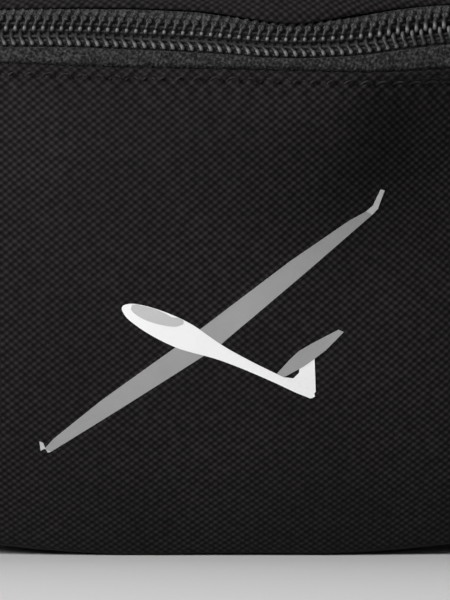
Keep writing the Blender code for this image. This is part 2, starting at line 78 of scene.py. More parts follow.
# Sizes that part.py gives the solids, in millimetres
HALF_WIDTH = 122.0
HEIGHT = 142.0
BACK_Y = 38.0
FACET_HALF = 22.0
BOTTOM_RADIUS = 455.0
BOTTOM_CORNER_RISE = 38.0
BOTTOM_CORNER_POWER = 6
ZIP_END_X = 103.0
END_FRONT = 10.0
END_BACK = 10.0
END_TOP = 12.0
END_BAND = 22.0
TOP_CRUST = 5.0
ZIP_RADIUS = 420.0
BAND_LOW_Z = 104.7
BAND_HIGH_Z = 117.6
FABRIC_EDGE = 1.7
BAND_TILT = math.radians(16)
POCKET_ZIP_Y = -36.51
POCKET_ZIP_Z = 112.0
MAIN_ZIP_Y = 8.0
MAIN_LEDGE_Z = 140.3
CHAIN_ARC = 100.0
SLIDER_ARC = 92.5
PAD_HALF_WIDTH = 104.0
PAD_LOW_Z = 8.0
PAD_HIGH_Z = 122.0
PAD_THICK = 5.2
PAD_LOW_CORNER = 42.0
PAD_HIGH_CORNER = 20.0
LOOP_CENTRE_Y = 110.0
LOOP_RADIUS = 165.0
WING_ROOT_X = 104.4
WEB_HEIGHT = 38.0
WEB_THICK = 1.8
WEB_RADIUS = 168.2
LAYER_PITCH = 2.2
WEB_WING_Z = 57.0
WEB_BACK_Z = 25.0
BUCKLE_Y = 274.8
BAR_X = 29.0
HAIRPIN_RADIUS = 3.3
MERGE_X = 46.0
KEEPER_ANGLE = math.radians(64)

Array = np.ndarray
Number = Union[float, Array]


class Slot(Enum):
    """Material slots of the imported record."""

    SHELL = "shell_fabric"
    PADDING = "padding_mesh"
    TAPE = "zip_tape"
    COIL = "zip_coil"
    METAL = "zip_metal"
    PULL = "zip_pull"
    WEBBING = "webbing"
    PLASTIC = "buckle_plastic"
    ELASTIC = "elastic"


# Numbers and curves


def ease(value: Number) -> Number:
    """Go from 0 to 1 with no corner at either end."""
    t = np.clip(value, 0.0, 1.0)
    return t * t * (3 - 2 * t)


def bell(value: Number, width: float) -> Number:
    """Smooth bump that is 1 at 0 and has faded at twice its width."""
    return np.exp(-((value / width) ** 2))


def swell(x: Array, y: Array, z: Array, seed: float) -> Array:
    """Smooth noise between -1 and 1 at points that are already scaled to its grain."""
    x, y, z = np.broadcast_arrays(x, y, z)
    flat = [noise.noise(Vector(p)) for p in zip(x.ravel() + seed, y.ravel() - seed, z.ravel() + 0.37 * seed)]
    return np.array(flat).reshape(x.shape)


class Curve:
    """Smooth curve through rows of knots, which may hold any number of columns."""

    def __init__(self, knots: Sequence[Sequence[float]], at: Sequence[float] | None = None) -> None:
        """Keep the knots and the slope at each.

        Args:
            knots: rows of numbers that the curve passes through.
            at: position of each knot along the curve; its chord length if left out.
        """
        self.knots = np.array(knots, dtype=float)
        if at is None:
            step = np.linalg.norm(np.diff(self.knots[:, :2], axis=0), axis=1)
            at = np.concatenate([[0.0], np.cumsum(step)])
        self.at = np.array(at, dtype=float)
        gap = np.diff(self.at)[:, None]
        rate = np.diff(self.knots, axis=0) / gap
        inner = (rate[:-1] * gap[1:] + rate[1:] * gap[:-1]) / (gap[:-1] + gap[1:])
        self.slopes = np.vstack([rate[:1], inner, rate[-1:]])

    @property
    def length(self) -> float:
        """Position of the last knot."""
        return float(self.at[-1])

    def read(self, where: Array) -> Array:
        """Rows of the curve at positions along it.

        Args:
            where: positions, which are held inside the curve's own range.

        Returns:
            One row for each position.
        """
        t = np.clip(np.asarray(where, dtype=float), self.at[0], self.at[-1])
        i = np.clip(np.searchsorted(self.at, t, side="right") - 1, 0, len(self.at) - 2)
        gap = self.at[i + 1] - self.at[i]
        f = ((t - self.at[i]) / gap)[..., None]
        gap = gap[..., None]
        low, high = self.knots[i], self.knots[i + 1]
        rise, fall = self.slopes[i] * gap, self.slopes[i + 1] * gap
        return (
            low * (1 + 2 * f) * (1 - f) ** 2
            + rise * f * (1 - f) ** 2
            + high * f * f * (3 - 2 * f)
            + fall * f * f * (f - 1)
        )

    def nearest(self, row: Sequence[float]) -> float:
        """Position whose first two columns lie nearest to a point."""
        fine = np.linspace(self.at[0], self.at[-1], 4000)
        spots = self.read(fine)[:, :2] - np.array(row[:2])
        return float(fine[np.argmin(np.linalg.norm(spots, axis=1))])


def graded(length: float, focus: Sequence[float], fine: float, coarse: float, reach: float) -> Array:
    """Positions along a length, close together near each focus.

    Args:
        length: where the positions end; they start at 0.
        focus: positions that need close steps.
        fine: step at a focus.
        coarse: step far from every focus.
        reach: distance over which the step grows.

    Returns:
        The positions, in order.
    """
    t = np.linspace(0.0, length, 6000)
    near = np.min([np.abs(t - f) for f in focus], axis=0) if len(focus) else np.full_like(t, reach)
    step = fine + (coarse - fine) * ease(near / reach)
    count = np.concatenate([[0.0], np.cumsum((t[1] - t[0]) / step[1:])])
    return np.interp(np.linspace(0, count[-1], int(math.ceil(count[-1])) + 1), count, t)


def refine(table: Array, at: tuple[Array, Array], new: tuple[Array, Array]) -> Array:
    """Read a coarse grid smoothly at finer places.

    Args:
        table: array of rows, columns and numbers.
        at: places of the rows and of the columns.
        new: places to read, of the rows and of the columns.

    Returns:
        The finer grid.
    """
    for where, fine in zip(at, new):
        rows, columns = table.shape[:2]
        table = Curve(table.reshape(rows, -1), where).read(fine).reshape(len(fine), columns, -1).transpose(1, 0, 2)
    return table


def wave(table: Sequence[tuple[float, float]], x: Array) -> Array:
    """Read a smooth table of (x, value) pairs, held at its ends."""
    places, values = zip(*table)
    return Curve([[v, 0.0] for v in values], places).read(x)[..., 0]


# Node fields


def add_node(tree: bpy.types.NodeTree, kind: str, inputs: dict | None = None, output: int | str = 0, **settings: object):
    """Add a node to a tree, with its settings and its links.

    Args:
        tree: tree that gets the node.
        kind: the node's type.
        inputs: value, or output socket to link, for each input by name or index.
        output: name or index of the output to return.
        **settings: attributes of the node itself.

    Returns:
        The chosen output socket.
    """
    made = tree.nodes.new(kind)
    for name, value in settings.items():
        setattr(made, name, value)
    for key, value in (inputs or {}).items():
        if isinstance(value, bpy.types.NodeSocket):
            tree.links.new(value, made.inputs[key])
        else:
            made.inputs[key].default_value = value
    return made.outputs[output]


class Field:
    """A number that varies over a surface: one output in a node tree."""

    def __init__(self, tree: bpy.types.NodeTree, socket: bpy.types.NodeSocket) -> None:
        """Keep the tree and the output socket."""
        self.tree = tree
        self.socket = socket

    def math(self, operation: str, *others: Field | float) -> Field:
        """Apply a Math operation to this field and the others."""
        inputs = {0: self.socket}
        for i, other in enumerate(others, 1):
            inputs[i] = other.socket if isinstance(other, Field) else other
        return Field(self.tree, add_node(self.tree, "ShaderNodeMath", inputs, operation=operation))

    def __add__(self, other: Field | float) -> Field:
        """Sum with a field or number."""
        return self.math("ADD", other)

    def __sub__(self, other: Field | float) -> Field:
        """Difference from a field or number."""
        return self.math("SUBTRACT", other)

    def __mul__(self, other: Field | float) -> Field:
        """Product with a field or number."""
        return self.math("MULTIPLY", other)

    def ripple(self, period: float, shift: float = 0.0) -> Field:
        """Cosine wave of this field with a period in the field's own unit."""
        return (self * (math.tau / period) + shift).math("COSINE")

    def between(self, low: float, high: float) -> Field:
        """0 below low and 1 above high, smooth in between."""
        inputs = {"Value": self.socket, "From Min": low, "From Max": high}
        made = add_node(self.tree, "ShaderNodeMapRange", inputs, interpolation_type="SMOOTHSTEP")
        return Field(self.tree, made)


def linear(colour: str) -> tuple[float, float, float, float]:
    """Turn an sRGB hex colour into linear RGBA.

    Args:
        colour: six hex digits after a #.

    Returns:
        Red, green, blue and an alpha of 1.
    """
    parts = [int(colour[i : i + 2], 16) / 255 for i in (1, 3, 5)]
    return (*(c / 12.92 if c <= 0.04045 else ((c + 0.055) / 1.055) ** 2.4 for c in parts), 1.0)


@dataclass(frozen=True)
class Finish:
    """A real material: what its shader starts from. Its kinds add their pattern."""

    name: str
    dark: str
    light: str
    roughness: float = 0.8
    specular: float = 0.3
    metallic: float = 0.0
    sheen: float = 0.0

    def pattern(self, look: Look) -> None:
        """Add the colour, relief and roughness that this material shows."""
        look.colour(look.grain(0.12, 2.0), self.dark, self.light)

    def make(self) -> bpy.types.Material:
        """Build the material.

        Returns:
            The finished material.
        """
        look = Look(self)
        self.pattern(look)
        return look.material


class Look:
    """A material while it is made: its tree, coordinates and Principled shader."""

    def __init__(self, finish: Finish) -> None:
        """Start a material from a finish's constants."""
        self.material = bpy.data.materials.new(finish.name)
        self.material.use_nodes = True
        self.tree = self.material.node_tree
        self.shader = self.tree.nodes["Principled BSDF"]
        settings = {"Roughness": finish.roughness, "Metallic": finish.metallic}
        if not finish.metallic:
            settings["Specular IOR Level"] = finish.specular
        if finish.sheen:
            settings["Sheen Weight"] = finish.sheen
            settings["Sheen Roughness"] = 0.45
        for name, value in settings.items():
            self.shader.inputs[name].default_value = value
        self.place = add_node(self.tree, "ShaderNodeTexCoord", output="Object")

    def cloth(self) -> tuple[Field, Field]:
        """Millimetres along and across the cloth, from its UV map."""
        uv = add_node(self.tree, "ShaderNodeUVMap", uv_map="cloth")
        parts = add_node(self.tree, "ShaderNodeSeparateXYZ", {0: uv}).node.outputs
        return tuple(Field(self.tree, parts[i]) * UV_UNIT for i in range(2))

    def grain(self, per_mm: float, detail: float = 2.0, stretch: Sequence[float] = (1, 1, 1), seed: float = 0.0) -> Field:
        """Noise between 0 and 1 over the object.

        Args:
            per_mm: features in a millimetre.
            detail: octaves.
            stretch: factor on the scale along each axis.
            seed: shift that gives another sample of the same noise.

        Returns:
            The noise field.
        """
        scale = tuple(s * per_mm / MM for s in stretch)
        place = add_node(self.tree, "ShaderNodeMapping", {"Vector": self.place, "Scale": scale, "Location": (seed,) * 3})
        return Field(self.tree, add_node(self.tree, "ShaderNodeTexNoise", {"Vector": place, "Scale": 1.0, "Detail": detail}))

    def colour(self, share: Field, dark: str, light: str) -> None:
        """Blend two hex colours by a field."""
        inputs = {"Factor": share.socket, 6: linear(dark), 7: linear(light)}
        mixed = add_node(self.tree, "ShaderNodeMix", inputs, 2, data_type="RGBA")
        self.tree.links.new(mixed, self.shader.inputs["Base Color"])

    def relief(self, height: Field, millimetres: float, strength: float = 1.0) -> None:
        """Raise the surface by a field times a height, in the shading normal."""
        inputs = {"Height": height.socket, "Distance": millimetres * MM, "Strength": strength}
        if self.shader.inputs["Normal"].is_linked:
            inputs["Normal"] = self.shader.inputs["Normal"].links[0].from_socket
        self.tree.links.new(add_node(self.tree, "ShaderNodeBump", inputs), self.shader.inputs["Normal"])

    def rough(self, share: Field, low: float, high: float) -> None:
        """Vary the roughness between two values by a field."""
        self.tree.links.new((share * (high - low) + low).socket, self.shader.inputs["Roughness"])


@dataclass(frozen=True)
class WovenPolyester(Finish):
    """600 denier plain weave: matt black, with a lattice of yarn crowns in painted sheen and painted shade in the
    pinholes between.
    """

    pitch_across: float = 1.98
    pitch_along: float = 1.64
    relief_mm: float = 0.2

    def pattern(self, look: Look) -> None:
        """Lattice of warp floats painted lighter as sheen over gaps painted darker as shade, with uneven yarn and faint
        rub marks.
        """
        u, v = look.cloth()
        drift = look.grain(0.07, 2.0) - 0.5
        u = u + drift * 0.5
        v = v + (look.grain(0.05, 2.0, seed=7.0) - 0.5) * 0.5
        lattice = u.ripple(self.pitch_across) * v.ripple(self.pitch_along)
        uneven = look.grain(0.6, 1.0, seed=3.0) - 0.5
        height = lattice + uneven * 1.2
        paler_share = look.grain(0.035, 3.0, seed=11.0).between(0.35, 0.75)
        # the crowns' lighter colour is painted sheen and the darker gaps are painted shade; the slow grain gives random
        # paler patches
        crown = height.between(-1.0, 1.3) * 0.68 + (lattice + uneven * 0.8).between(0.1, 1.1) * 0.3
        look.colour(crown * (paler_share * 0.25 + 0.75), self.dark, self.light)
        look.relief(height, self.relief_mm / 2)
        look.relief(look.grain(4.0, 2.0, (1, 1, 0.25)), 0.05, 0.6)


@dataclass(frozen=True)
class ZipTape(Finish):
    """Knitted polyester tape: felt-like, dark grey, with broken slanting loops and lint specks."""

    loop_mm: float = 0.95

    def pattern(self, look: Look) -> None:
        """Slanting rows of knit loops, broken up by fuzz and specks of lint."""
        u, v = look.cloth()
        wander = (look.grain(0.45, 2.0) - 0.5) * 3.0
        slant = (u * 0.8 + v * 1.1 + wander).ripple(self.loop_mm * 1.5)
        loops = (u - v * 0.35 + wander * 0.6).ripple(self.loop_mm)
        fuzz = look.grain(1.5, 3.0, seed=5.0) - 0.5
        speck = look.grain(1.25, 0.0, (0.8, 1, 1), 9.0).between(0.56, 0.72)
        height = slant * 0.14 + loops * 0.1 + fuzz * 2.6 + speck * 0.5
        look.colour(height.between(-0.4, 0.9), self.dark, self.light)
        look.relief(height, 0.24)


@dataclass(frozen=True)
class NylonCoil(Finish):
    """Moulded nylon monofilament: near black and semi-gloss, with a painted highlight in a paler colour on the heads
    and the loop ends.
    """

    # colour of the painted highlight on the heads and loop ends
    head_highlight: str = "#747474"

    def pattern(self, look: Look) -> None:
        """Paler heads and loop ends as a painted highlight, and a fine drawn texture."""
        paler_share = look.cloth()[1]
        # the UV mark read here carries the painted highlight of the heads and loop ends
        tone = look.grain(0.25, 2.0) * 0.12 + paler_share * (look.grain(0.35, 1.0, seed=4.0) * 1.2 + 0.4)
        look.colour(tone, self.dark, self.head_highlight)
        look.relief(look.grain(2.5, 2.0), 0.03, 0.7)


@dataclass(frozen=True)
class SewingThread(Finish):
    """Spun polyester thread: matt and fuzzy, with its twist just visible."""

    twist_mm: float = 0.45

    def pattern(self, look: Look) -> None:
        """Slanting plies under a fuzz of loose fibres."""
        u, v = look.cloth()
        plies = (u + v * 1.5).ripple(self.twist_mm) * 0.5 + (look.grain(1.8, 2.0) - 0.5) * 2.2
        look.colour(plies.between(-0.8, 0.9), self.dark, self.light)
        look.relief(plies, 0.09)


@dataclass(frozen=True)
class PrintInk(Finish):
    """Flex-film print pressed on the cloth: flat and matt, with only a trace of the weave under it."""

    def pattern(self, look: Look) -> None:
        """Even tone over a weave that barely comes through."""
        u, v = look.cloth()
        look.colour(look.grain(0.2, 1.0), self.dark, self.light)
        look.relief(u.ripple(1.98) * v.ripple(1.64), 0.012, 0.5)


@dataclass(frozen=True)
class SpacerMesh(Finish):
    """3D spacer mesh: dull knit with rows of small dark holes over foam."""

    hole_mm: float = 2.6

    def pattern(self, look: Look) -> None:
        """Hexagonal lattice of holes in a fine knit."""
        u, v = look.cloth()
        across = u.ripple(self.hole_mm)
        left = (u * 0.5 + v * 0.866).ripple(self.hole_mm)
        right = (u * 0.5 - v * 0.866).ripple(self.hole_mm)
        web = (across + left + right) * -1.0
        height = web.between(-1.8, 0.9)
        look.colour(height * (look.grain(0.8, 2.0) * 0.5 + 0.6), self.dark, self.light)
        look.relief(height + look.grain(2.0, 2.0) * 0.3, 0.7)


@dataclass(frozen=True)
class RibbedWebbing(Finish):
    """Woven polypropylene or grosgrain: close ribs across the strip, with a low sheen on each."""

    rib_mm: float = 1.25
    chevron_mm: float = 4.75

    def pattern(self, look: Look) -> None:
        """Ribs that lean one way and then the other in bands along the strip."""
        u, v = look.cloth()
        fold = v.math("PINGPONG", self.chevron_mm)
        rib = (u + fold * 0.55).ripple(self.rib_mm)
        pick = v.ripple(self.rib_mm * 0.62)
        height = rib * 0.7 + pick * 0.35 + (look.grain(0.7, 2.0) - 0.5) * 0.7
        look.colour(height.between(-1.2, 1.3), self.dark, self.light)
        look.relief(height, 0.16)


@dataclass(frozen=True)
class MouldedAcetal(Finish):
    """Injection-moulded acetal: satin black with a spark-eroded grain and faint scuffs."""

    def pattern(self, look: Look) -> None:
        """Fine mould texture and a little uneven gloss."""
        look.colour(look.grain(0.06, 3.0), self.dark, self.light)
        look.relief(look.grain(3.2, 2.0), 0.035, 0.6)
        look.rough(look.grain(0.15, 3.0), self.roughness - 0.1, self.roughness + 0.12)


@dataclass(frozen=True)
class GripBars(MouldedAcetal):
    """Soft moulded pull with bars across it for the fingers."""

    axis: int = 2
    low: float = 87.0
    high: float = 99.0
    pitch: float = 2.4

    def pattern(self, look: Look) -> None:
        """Mould texture, and bars between two places along one axis."""
        super().pattern(look)
        parts = add_node(look.tree, "ShaderNodeSeparateXYZ", {0: look.place}).node.outputs
        spot = Field(look.tree, parts[self.axis]) * (1 / MM)
        middle, reach = (self.low + self.high) / 2, (self.high - self.low) / 2
        band = (spot - middle).math("ABSOLUTE").between(reach, reach + 0.3) * -1.0 + 1.0
        look.relief(spot.ripple(self.pitch).between(-0.3, 0.4) * band, 0.45)


@dataclass(frozen=True)
class EnamelledZinc(Finish):
    """Die-cast zinc under black enamel: semi-gloss, with wear that catches the light."""

    def pattern(self, look: Look) -> None:
        """Slight orange peel and uneven gloss."""
        look.colour(look.grain(0.3, 3.0).between(0.3, 0.8), self.dark, self.light)
        look.relief(look.grain(1.2, 2.0), 0.02, 0.6)
        look.rough(look.grain(0.4, 3.0), self.roughness - 0.1, self.roughness + 0.15)


@dataclass(frozen=True)
class StudioPaper(Finish):
    """Seamless background paper: pale, matt and even."""

    def pattern(self, look: Look) -> None:
        """Barely visible mottling."""
        look.colour(look.grain(0.004, 2.0), self.dark, self.light)


class Palette:
    """The finishes of this bag, each made once."""

    shell = WovenPolyester("Plain_weave_600D_polyester", "#060405", "#2D2A2B", 0.8, 0.12, sheen=0.02)
    tape = ZipTape("Knitted_polyester_zip_tape", "#101010", "#404040", 0.9, 0.2, sheen=0.05)
    coil = NylonCoil("Nylon_monofilament_coil", "#141414", "#303030", 0.46, 0.25)
    cord = SewingThread("Spun_polyester_filler_cord", "#1C1C1C", "#4E4E4E", 0.95, 0.08)
    felt = SewingThread("Fuzzy_polyester_chain_thread", "#2A2A2A", "#707070", 0.95, 0.08)
    thread = SewingThread("Spun_polyester_thread", "#1A1819", "#464243", 0.85, 0.15)
    mesh = SpacerMesh("Polyester_spacer_mesh", "#050505", "#2C2C2E", 0.85, 0.2, sheen=0.04)
    webbing = RibbedWebbing("Woven_polypropylene_webbing", "#0A0A0A", "#2A2A2A", 0.6, 0.3)
    binding = RibbedWebbing("Grosgrain_binding_tape", "#0A0A0A", "#232324", 0.65, 0.25, 0.0, 0.0, 0.9, 400.0)
    elastic = RibbedWebbing("Knitted_elastic", "#080808", "#242424", 0.8, 0.2, 0.0, 0.0, 1.6, 400.0)
    acetal = MouldedAcetal("Moulded_black_acetal", "#0D0D0E", "#161617", 0.42, 0.45)
    pocket_pull = GripBars("Moulded_TPR_hanging_pull", "#101010", "#1A1A1A", 0.6, 0.35)
    main_pull = GripBars("Moulded_TPR_lying_pull", "#101010", "#1A1A1A", 0.6, 0.35, axis=1, low=-18.5, high=-6.5)
    zinc = EnamelledZinc("Black_enamelled_zinc", "#1C1C1E", "#333336", 0.36, 0.5, 0.6)
    lining = Finish("Black_taffeta_lining", "#050505", "#0A0A0A", 0.9, 0.2)
    white = PrintInk("White_flex_print", "#E2E2E2", "#E6E6E6", 0.75, 0.2)
    grey = PrintInk("Grey_flex_print", "#8C8C8C", "#949494", 0.75, 0.2)
    pale = PrintInk("Light_grey_flex_print", "#B0B0B0", "#B8B8B8", 0.75, 0.2)
    paper = StudioPaper("Pale_seamless_paper", "#DADADA", "#DEDEDE", 0.9, 0.1)

    def __init__(self) -> None:
        """Start with nothing made."""
        self.made: dict[str, bpy.types.Material] = {}

    def __getitem__(self, finish: Finish) -> bpy.types.Material:
        """The material of a finish, made on first use."""
        if finish.name not in self.made:
            self.made[finish.name] = finish.make()
        return self.made[finish.name]


# Meshes


class Meshwork:
    """Points, faces and UVs that pile up into one mesh, in millimetres."""

    def __init__(self) -> None:
        """Start empty."""
        self.points: list[Array] = []
        self.faces: list[list[int]] = []
        self.uvs: list[Array] = []
        self.count = 0

    def grid(self, points: Array, uv: Array | None = None, closed: bool = False, capped: bool = False) -> None:
        """Add a grid of quads.

        Args:
            points: array of rows, columns and 3.
            uv: millimetres along and across the cloth, one pair for each point.
            closed: join the last row to the first.
            capped: close the first and last column with one face each.
        """
        rows, columns = points.shape[:2]
        index = np.arange(rows * columns).reshape(rows, columns) + self.count
        nearer = index if closed else index[:-1]
        farther = np.roll(index, -1, axis=0) if closed else index[1:]
        quads = np.stack([nearer[:, :-1], nearer[:, 1:], farther[:, 1:], farther[:, :-1]], axis=-1)
        self.faces += quads.reshape(-1, 4).tolist()
        if capped:
            self.faces += [index[:, 0].tolist(), index[::-1, -1].tolist()]
        self.points.append(points.reshape(-1, 3))
        self.uvs.append(np.zeros((rows * columns, 2)) if uv is None else uv.reshape(-1, 2))
        self.count += rows * columns

    def tube(
        self, path: Array, radius: Number, guide: Array, sides: int = 7, closed: bool = False, mark: Array | None = None
    ) -> None:
        """Add a round tube along a path.

        Args:
            path: points of the middle line.
            radius: one radius, or one for each point.
            guide: direction that is never along the path, one or one for each point.
            sides: corners of the section.
            closed: join the end of the path to its start.
            mark: second UV coordinate of each point of the path, in place of the way round the tube.
        """
        if closed:
            along = np.roll(path, -1, axis=0) - np.roll(path, 1, axis=0)
        else:
            along = np.gradient(path, axis=0)
        side = np.cross(along, np.broadcast_to(guide, path.shape))
        side /= np.linalg.norm(side, axis=1)[:, None]
        over = np.cross(side, along)
        over /= np.linalg.norm(over, axis=1)[:, None]
        angle = np.arange(sides) * math.tau / sides
        size = np.broadcast_to(radius, len(path))[None, :, None]
        ring = np.cos(angle)[:, None, None] * side + np.sin(angle)[:, None, None] * over
        points = path[None] + ring * size
        run = np.concatenate([[0.0], np.cumsum(np.linalg.norm(np.diff(path, axis=0), axis=1))])
        second = (angle * float(np.mean(radius)))[:, None] if mark is None else mark[None, :]
        uv = np.stack([np.broadcast_to(run, points.shape[:2]), np.broadcast_to(second, points.shape[:2])], axis=-1)
        if closed:
            points = np.concatenate([points, points[:, :1]], axis=1)
            uv = np.concatenate([uv, uv[:, :1]], axis=1)
        self.grid(points, uv, closed=True, capped=not closed)

    def make(self, name: str, material: bpy.types.Material, sharp: float = 60.0) -> bpy.types.Object:
        """Write the mesh as a smooth-shaded object.

        Args:
            name: the object's name.
            material: its finish.
            sharp: edges that turn by more degrees than this stay sharp.

        Returns:
            The new object, linked to the scene.
        """
        mesh = bpy.data.meshes.new(name)
        points = np.concatenate(self.points) * MM
        mesh.from_pydata(points.tolist(), [], self.faces)
        layer = mesh.uv_layers.new(name="cloth")
        corner = np.empty(len(mesh.loops), dtype=np.int32)
        mesh.loops.foreach_get("vertex_index", corner)
        flat = (np.concatenate(self.uvs) / UV_UNIT)[corner].astype(np.float32)
        layer.data.foreach_set("uv", flat.ravel())
        mesh.materials.append(material)
        mesh.shade_smooth()
        mesh.set_sharp_from_angle(angle=math.radians(sharp))
        made = bpy.data.objects.new(name, mesh)
        bpy.context.scene.collection.objects.link(made)
        return made


class Cloth:
    """A grid of cloth, with its distance along (columns) and across (rows) in millimetres."""

    def __init__(self, points: Array, along: Array, across: Array, side: float = 1.0) -> None:
        """Keep the grid.

        Args:
            points: array of rows, columns and 3.
            along: distance of each column.
            across: distance of each row.
            side: -1 where columns and rows run so that the grid's own normal points inward.
        """
        self.points = points
        self.along = along
        self.across = across
        self.side = side
        self.uv = np.stack(np.broadcast_arrays(along[None, :], across[:, None]), axis=-1)

    def measure(self, row: int) -> None:
        """Take the UVs from real lengths on the cloth, from its middle column and one of its rows."""
        start = int(np.argmin(np.abs(self.along)))
        wide = np.cumsum(np.linalg.norm(np.diff(self.points, axis=1, prepend=self.points[:, :1]), axis=2), axis=1)
        high = np.cumsum(np.linalg.norm(np.diff(self.points, axis=0, prepend=self.points[:1]), axis=2), axis=0)
        self.uv = np.stack([wide - wide[:, start, None], high - high[row] + self.across[row]], axis=-1)

    def normals(self) -> Array:
        """Unit normals of the grid's points."""
        rows = np.gradient(self.points, axis=0)
        columns = np.gradient(self.points, axis=1)
        out = np.cross(columns, rows) * self.side
        return out / np.maximum(np.linalg.norm(out, axis=2), 1e-9)[..., None]

    def lift(self, distance: Array) -> None:
        """Move the points along their normals, but not into the floor."""
        self.points = self.points + self.normals() * distance[..., None]
        self.points[..., 2] = np.maximum(self.points[..., 2], 0.0)

    def spots(self, along: Array, across: Array) -> tuple[Array, Array]:
        """Points and normals of the cloth at distances along and across.

        Args:
            along: distances along.
            across: distances across, of the same length.

        Returns:
            The points and the normals.
        """
        c = np.interp(along, self.along, np.arange(len(self.along)))
        r = np.interp(across, self.across, np.arange(len(self.across)))
        c0 = np.clip(c.astype(int), 0, len(self.along) - 2)
        r0 = np.clip(r.astype(int), 0, len(self.across) - 2)
        fc, fr = (c - c0)[:, None], (r - r0)[:, None]
        found = []
        for grid in (self.points, self.normals()):
            near = grid[r0, c0] * (1 - fc) + grid[r0, c0 + 1] * fc
            far = grid[r0 + 1, c0] * (1 - fc) + grid[r0 + 1, c0 + 1] * fc
            found.append(near * (1 - fr) + far * fr)
        return found[0], found[1]

    def add_to(self, work: Meshwork) -> None:
        """Add the grid to a mesh with its UVs."""
        work.grid(self.points, self.uv)


@dataclass(frozen=True)
class Billow:
    """Cloth simulation that fills a closed cover while its sewn places hold still."""

    pressure: float = 14.0
    slack: float = 0.03
    cap: float = 4.0
    frames: int = 20

    def run(self, cover: Meshwork, sewn: Array) -> Array:
        """Fill a cover.

        Args:
            cover: the closed cover.
            sewn: True for each of its points that is held.
        """
        points = np.concatenate(cover.points)
        mesh = bpy.data.meshes.new("cover")
        mesh.from_pydata((points * MM).tolist(), [], cover.faces)
        work = bmesh.new()
        work.from_mesh(mesh)
        bmesh.ops.recalc_face_normals(work, faces=work.faces)
        work.to_mesh(mesh)
        work.free()
        made = bpy.data.objects.new("cover", mesh)
        bpy.context.scene.collection.objects.link(made)
        group = made.vertex_groups.new(name="sewn")
        group.add(np.flatnonzero(sewn).tolist(), 1.0, "REPLACE")
        cloth = made.modifiers.new("fill", "CLOTH")
        cloth.settings.quality = 6
        cloth.settings.vertex_group_mass = group.name
        cloth.settings.use_pressure = True
        cloth.settings.uniform_pressure_force = self.pressure
        cloth.settings.shrink_min = -self.slack
        cloth.settings.effector_weights.gravity = 0.0
        cloth.collision_settings.use_collision = False
        cloth.point_cache.frame_end = self.frames
        for frame in range(1, self.frames + 1):
            bpy.context.scene.frame_set(frame)
        filled = made.evaluated_get(bpy.context.evaluated_depsgraph_get())
        found = np.empty(3 * len(points), dtype=np.float32)
        filled.data.vertices.foreach_get("co", found)
        bpy.data.objects.remove(made)
        bpy.data.meshes.remove(mesh)
        bpy.context.scene.frame_set(1)
        moved = found.reshape(-1, 3) / MM - points
        size = np.linalg.norm(moved, axis=1, keepdims=True)
        LOG.info("cover of %d points filled, %.1f mm at most", len(points), size.max())
        return moved * np.minimum(1.0, self.cap / np.maximum(size, 1e-9))


def settle(made: bpy.types.Object, body: str, slot: Slot, *nodes: str) -> bpy.types.Object:
    """Fix a new piece to its body, and hide the CAD nodes that it stands for.

    Args:
        made: the new piece.
        body: CAD body that carries it.
        slot: not used.
        *nodes: CAD nodes that it replaces.

    Returns:
        The same piece.
    """
    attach(made, body)
    if nodes:
        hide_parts(*nodes)
    LOG.info("%s: %d faces on %s", made.name, len(made.data.polygons), body)
    return made


def stitch(
    work: Meshwork, points: Array, normals: Array, pitch: float = 4.0, radius: float = 0.2, bow: float = 0.0
) -> None:
    """Sew a row of separate stitches along a line on a surface.

    Args:
        work: mesh that gets the thread.
        points: the line's points, in order.
        normals: the surface's normal at each.
        pitch: length of one stitch and its hole.
        radius: radius of the thread.
        bow: how far the middle of each stitch strays to the left of the line.
    """
    run = np.concatenate([[0.0], np.cumsum(np.linalg.norm(np.diff(points, axis=0), axis=1))])
    count = int(run[-1] // pitch)
    shape = np.array([(-0.42, -0.35), (-0.36, 0.0), (-0.2, 0.13), (0.0, 0.17), (0.2, 0.13), (0.36, 0.0), (0.42, -0.35)])
    for i in range(count):
        t = (i + 0.5 + shape[:, 0]) * pitch + (run[-1] - count * pitch) / 2
        place = np.stack([np.interp(t, run, points[:, k]) for k in range(3)], axis=1)
        out = np.stack([np.interp(t, run, normals[:, k]) for k in range(3)], axis=1)
        path = place + out * (shape[:, 1] + radius * 0.4)[:, None]
        guide = np.cross(out[3], place[-1] - place[0])
        path = path + guide / np.linalg.norm(guide) * (bow * (1 - (shape[:, 0] / 0.42) ** 2))[:, None]
        work.tube(path, radius, guide, 6)


# The bag's body


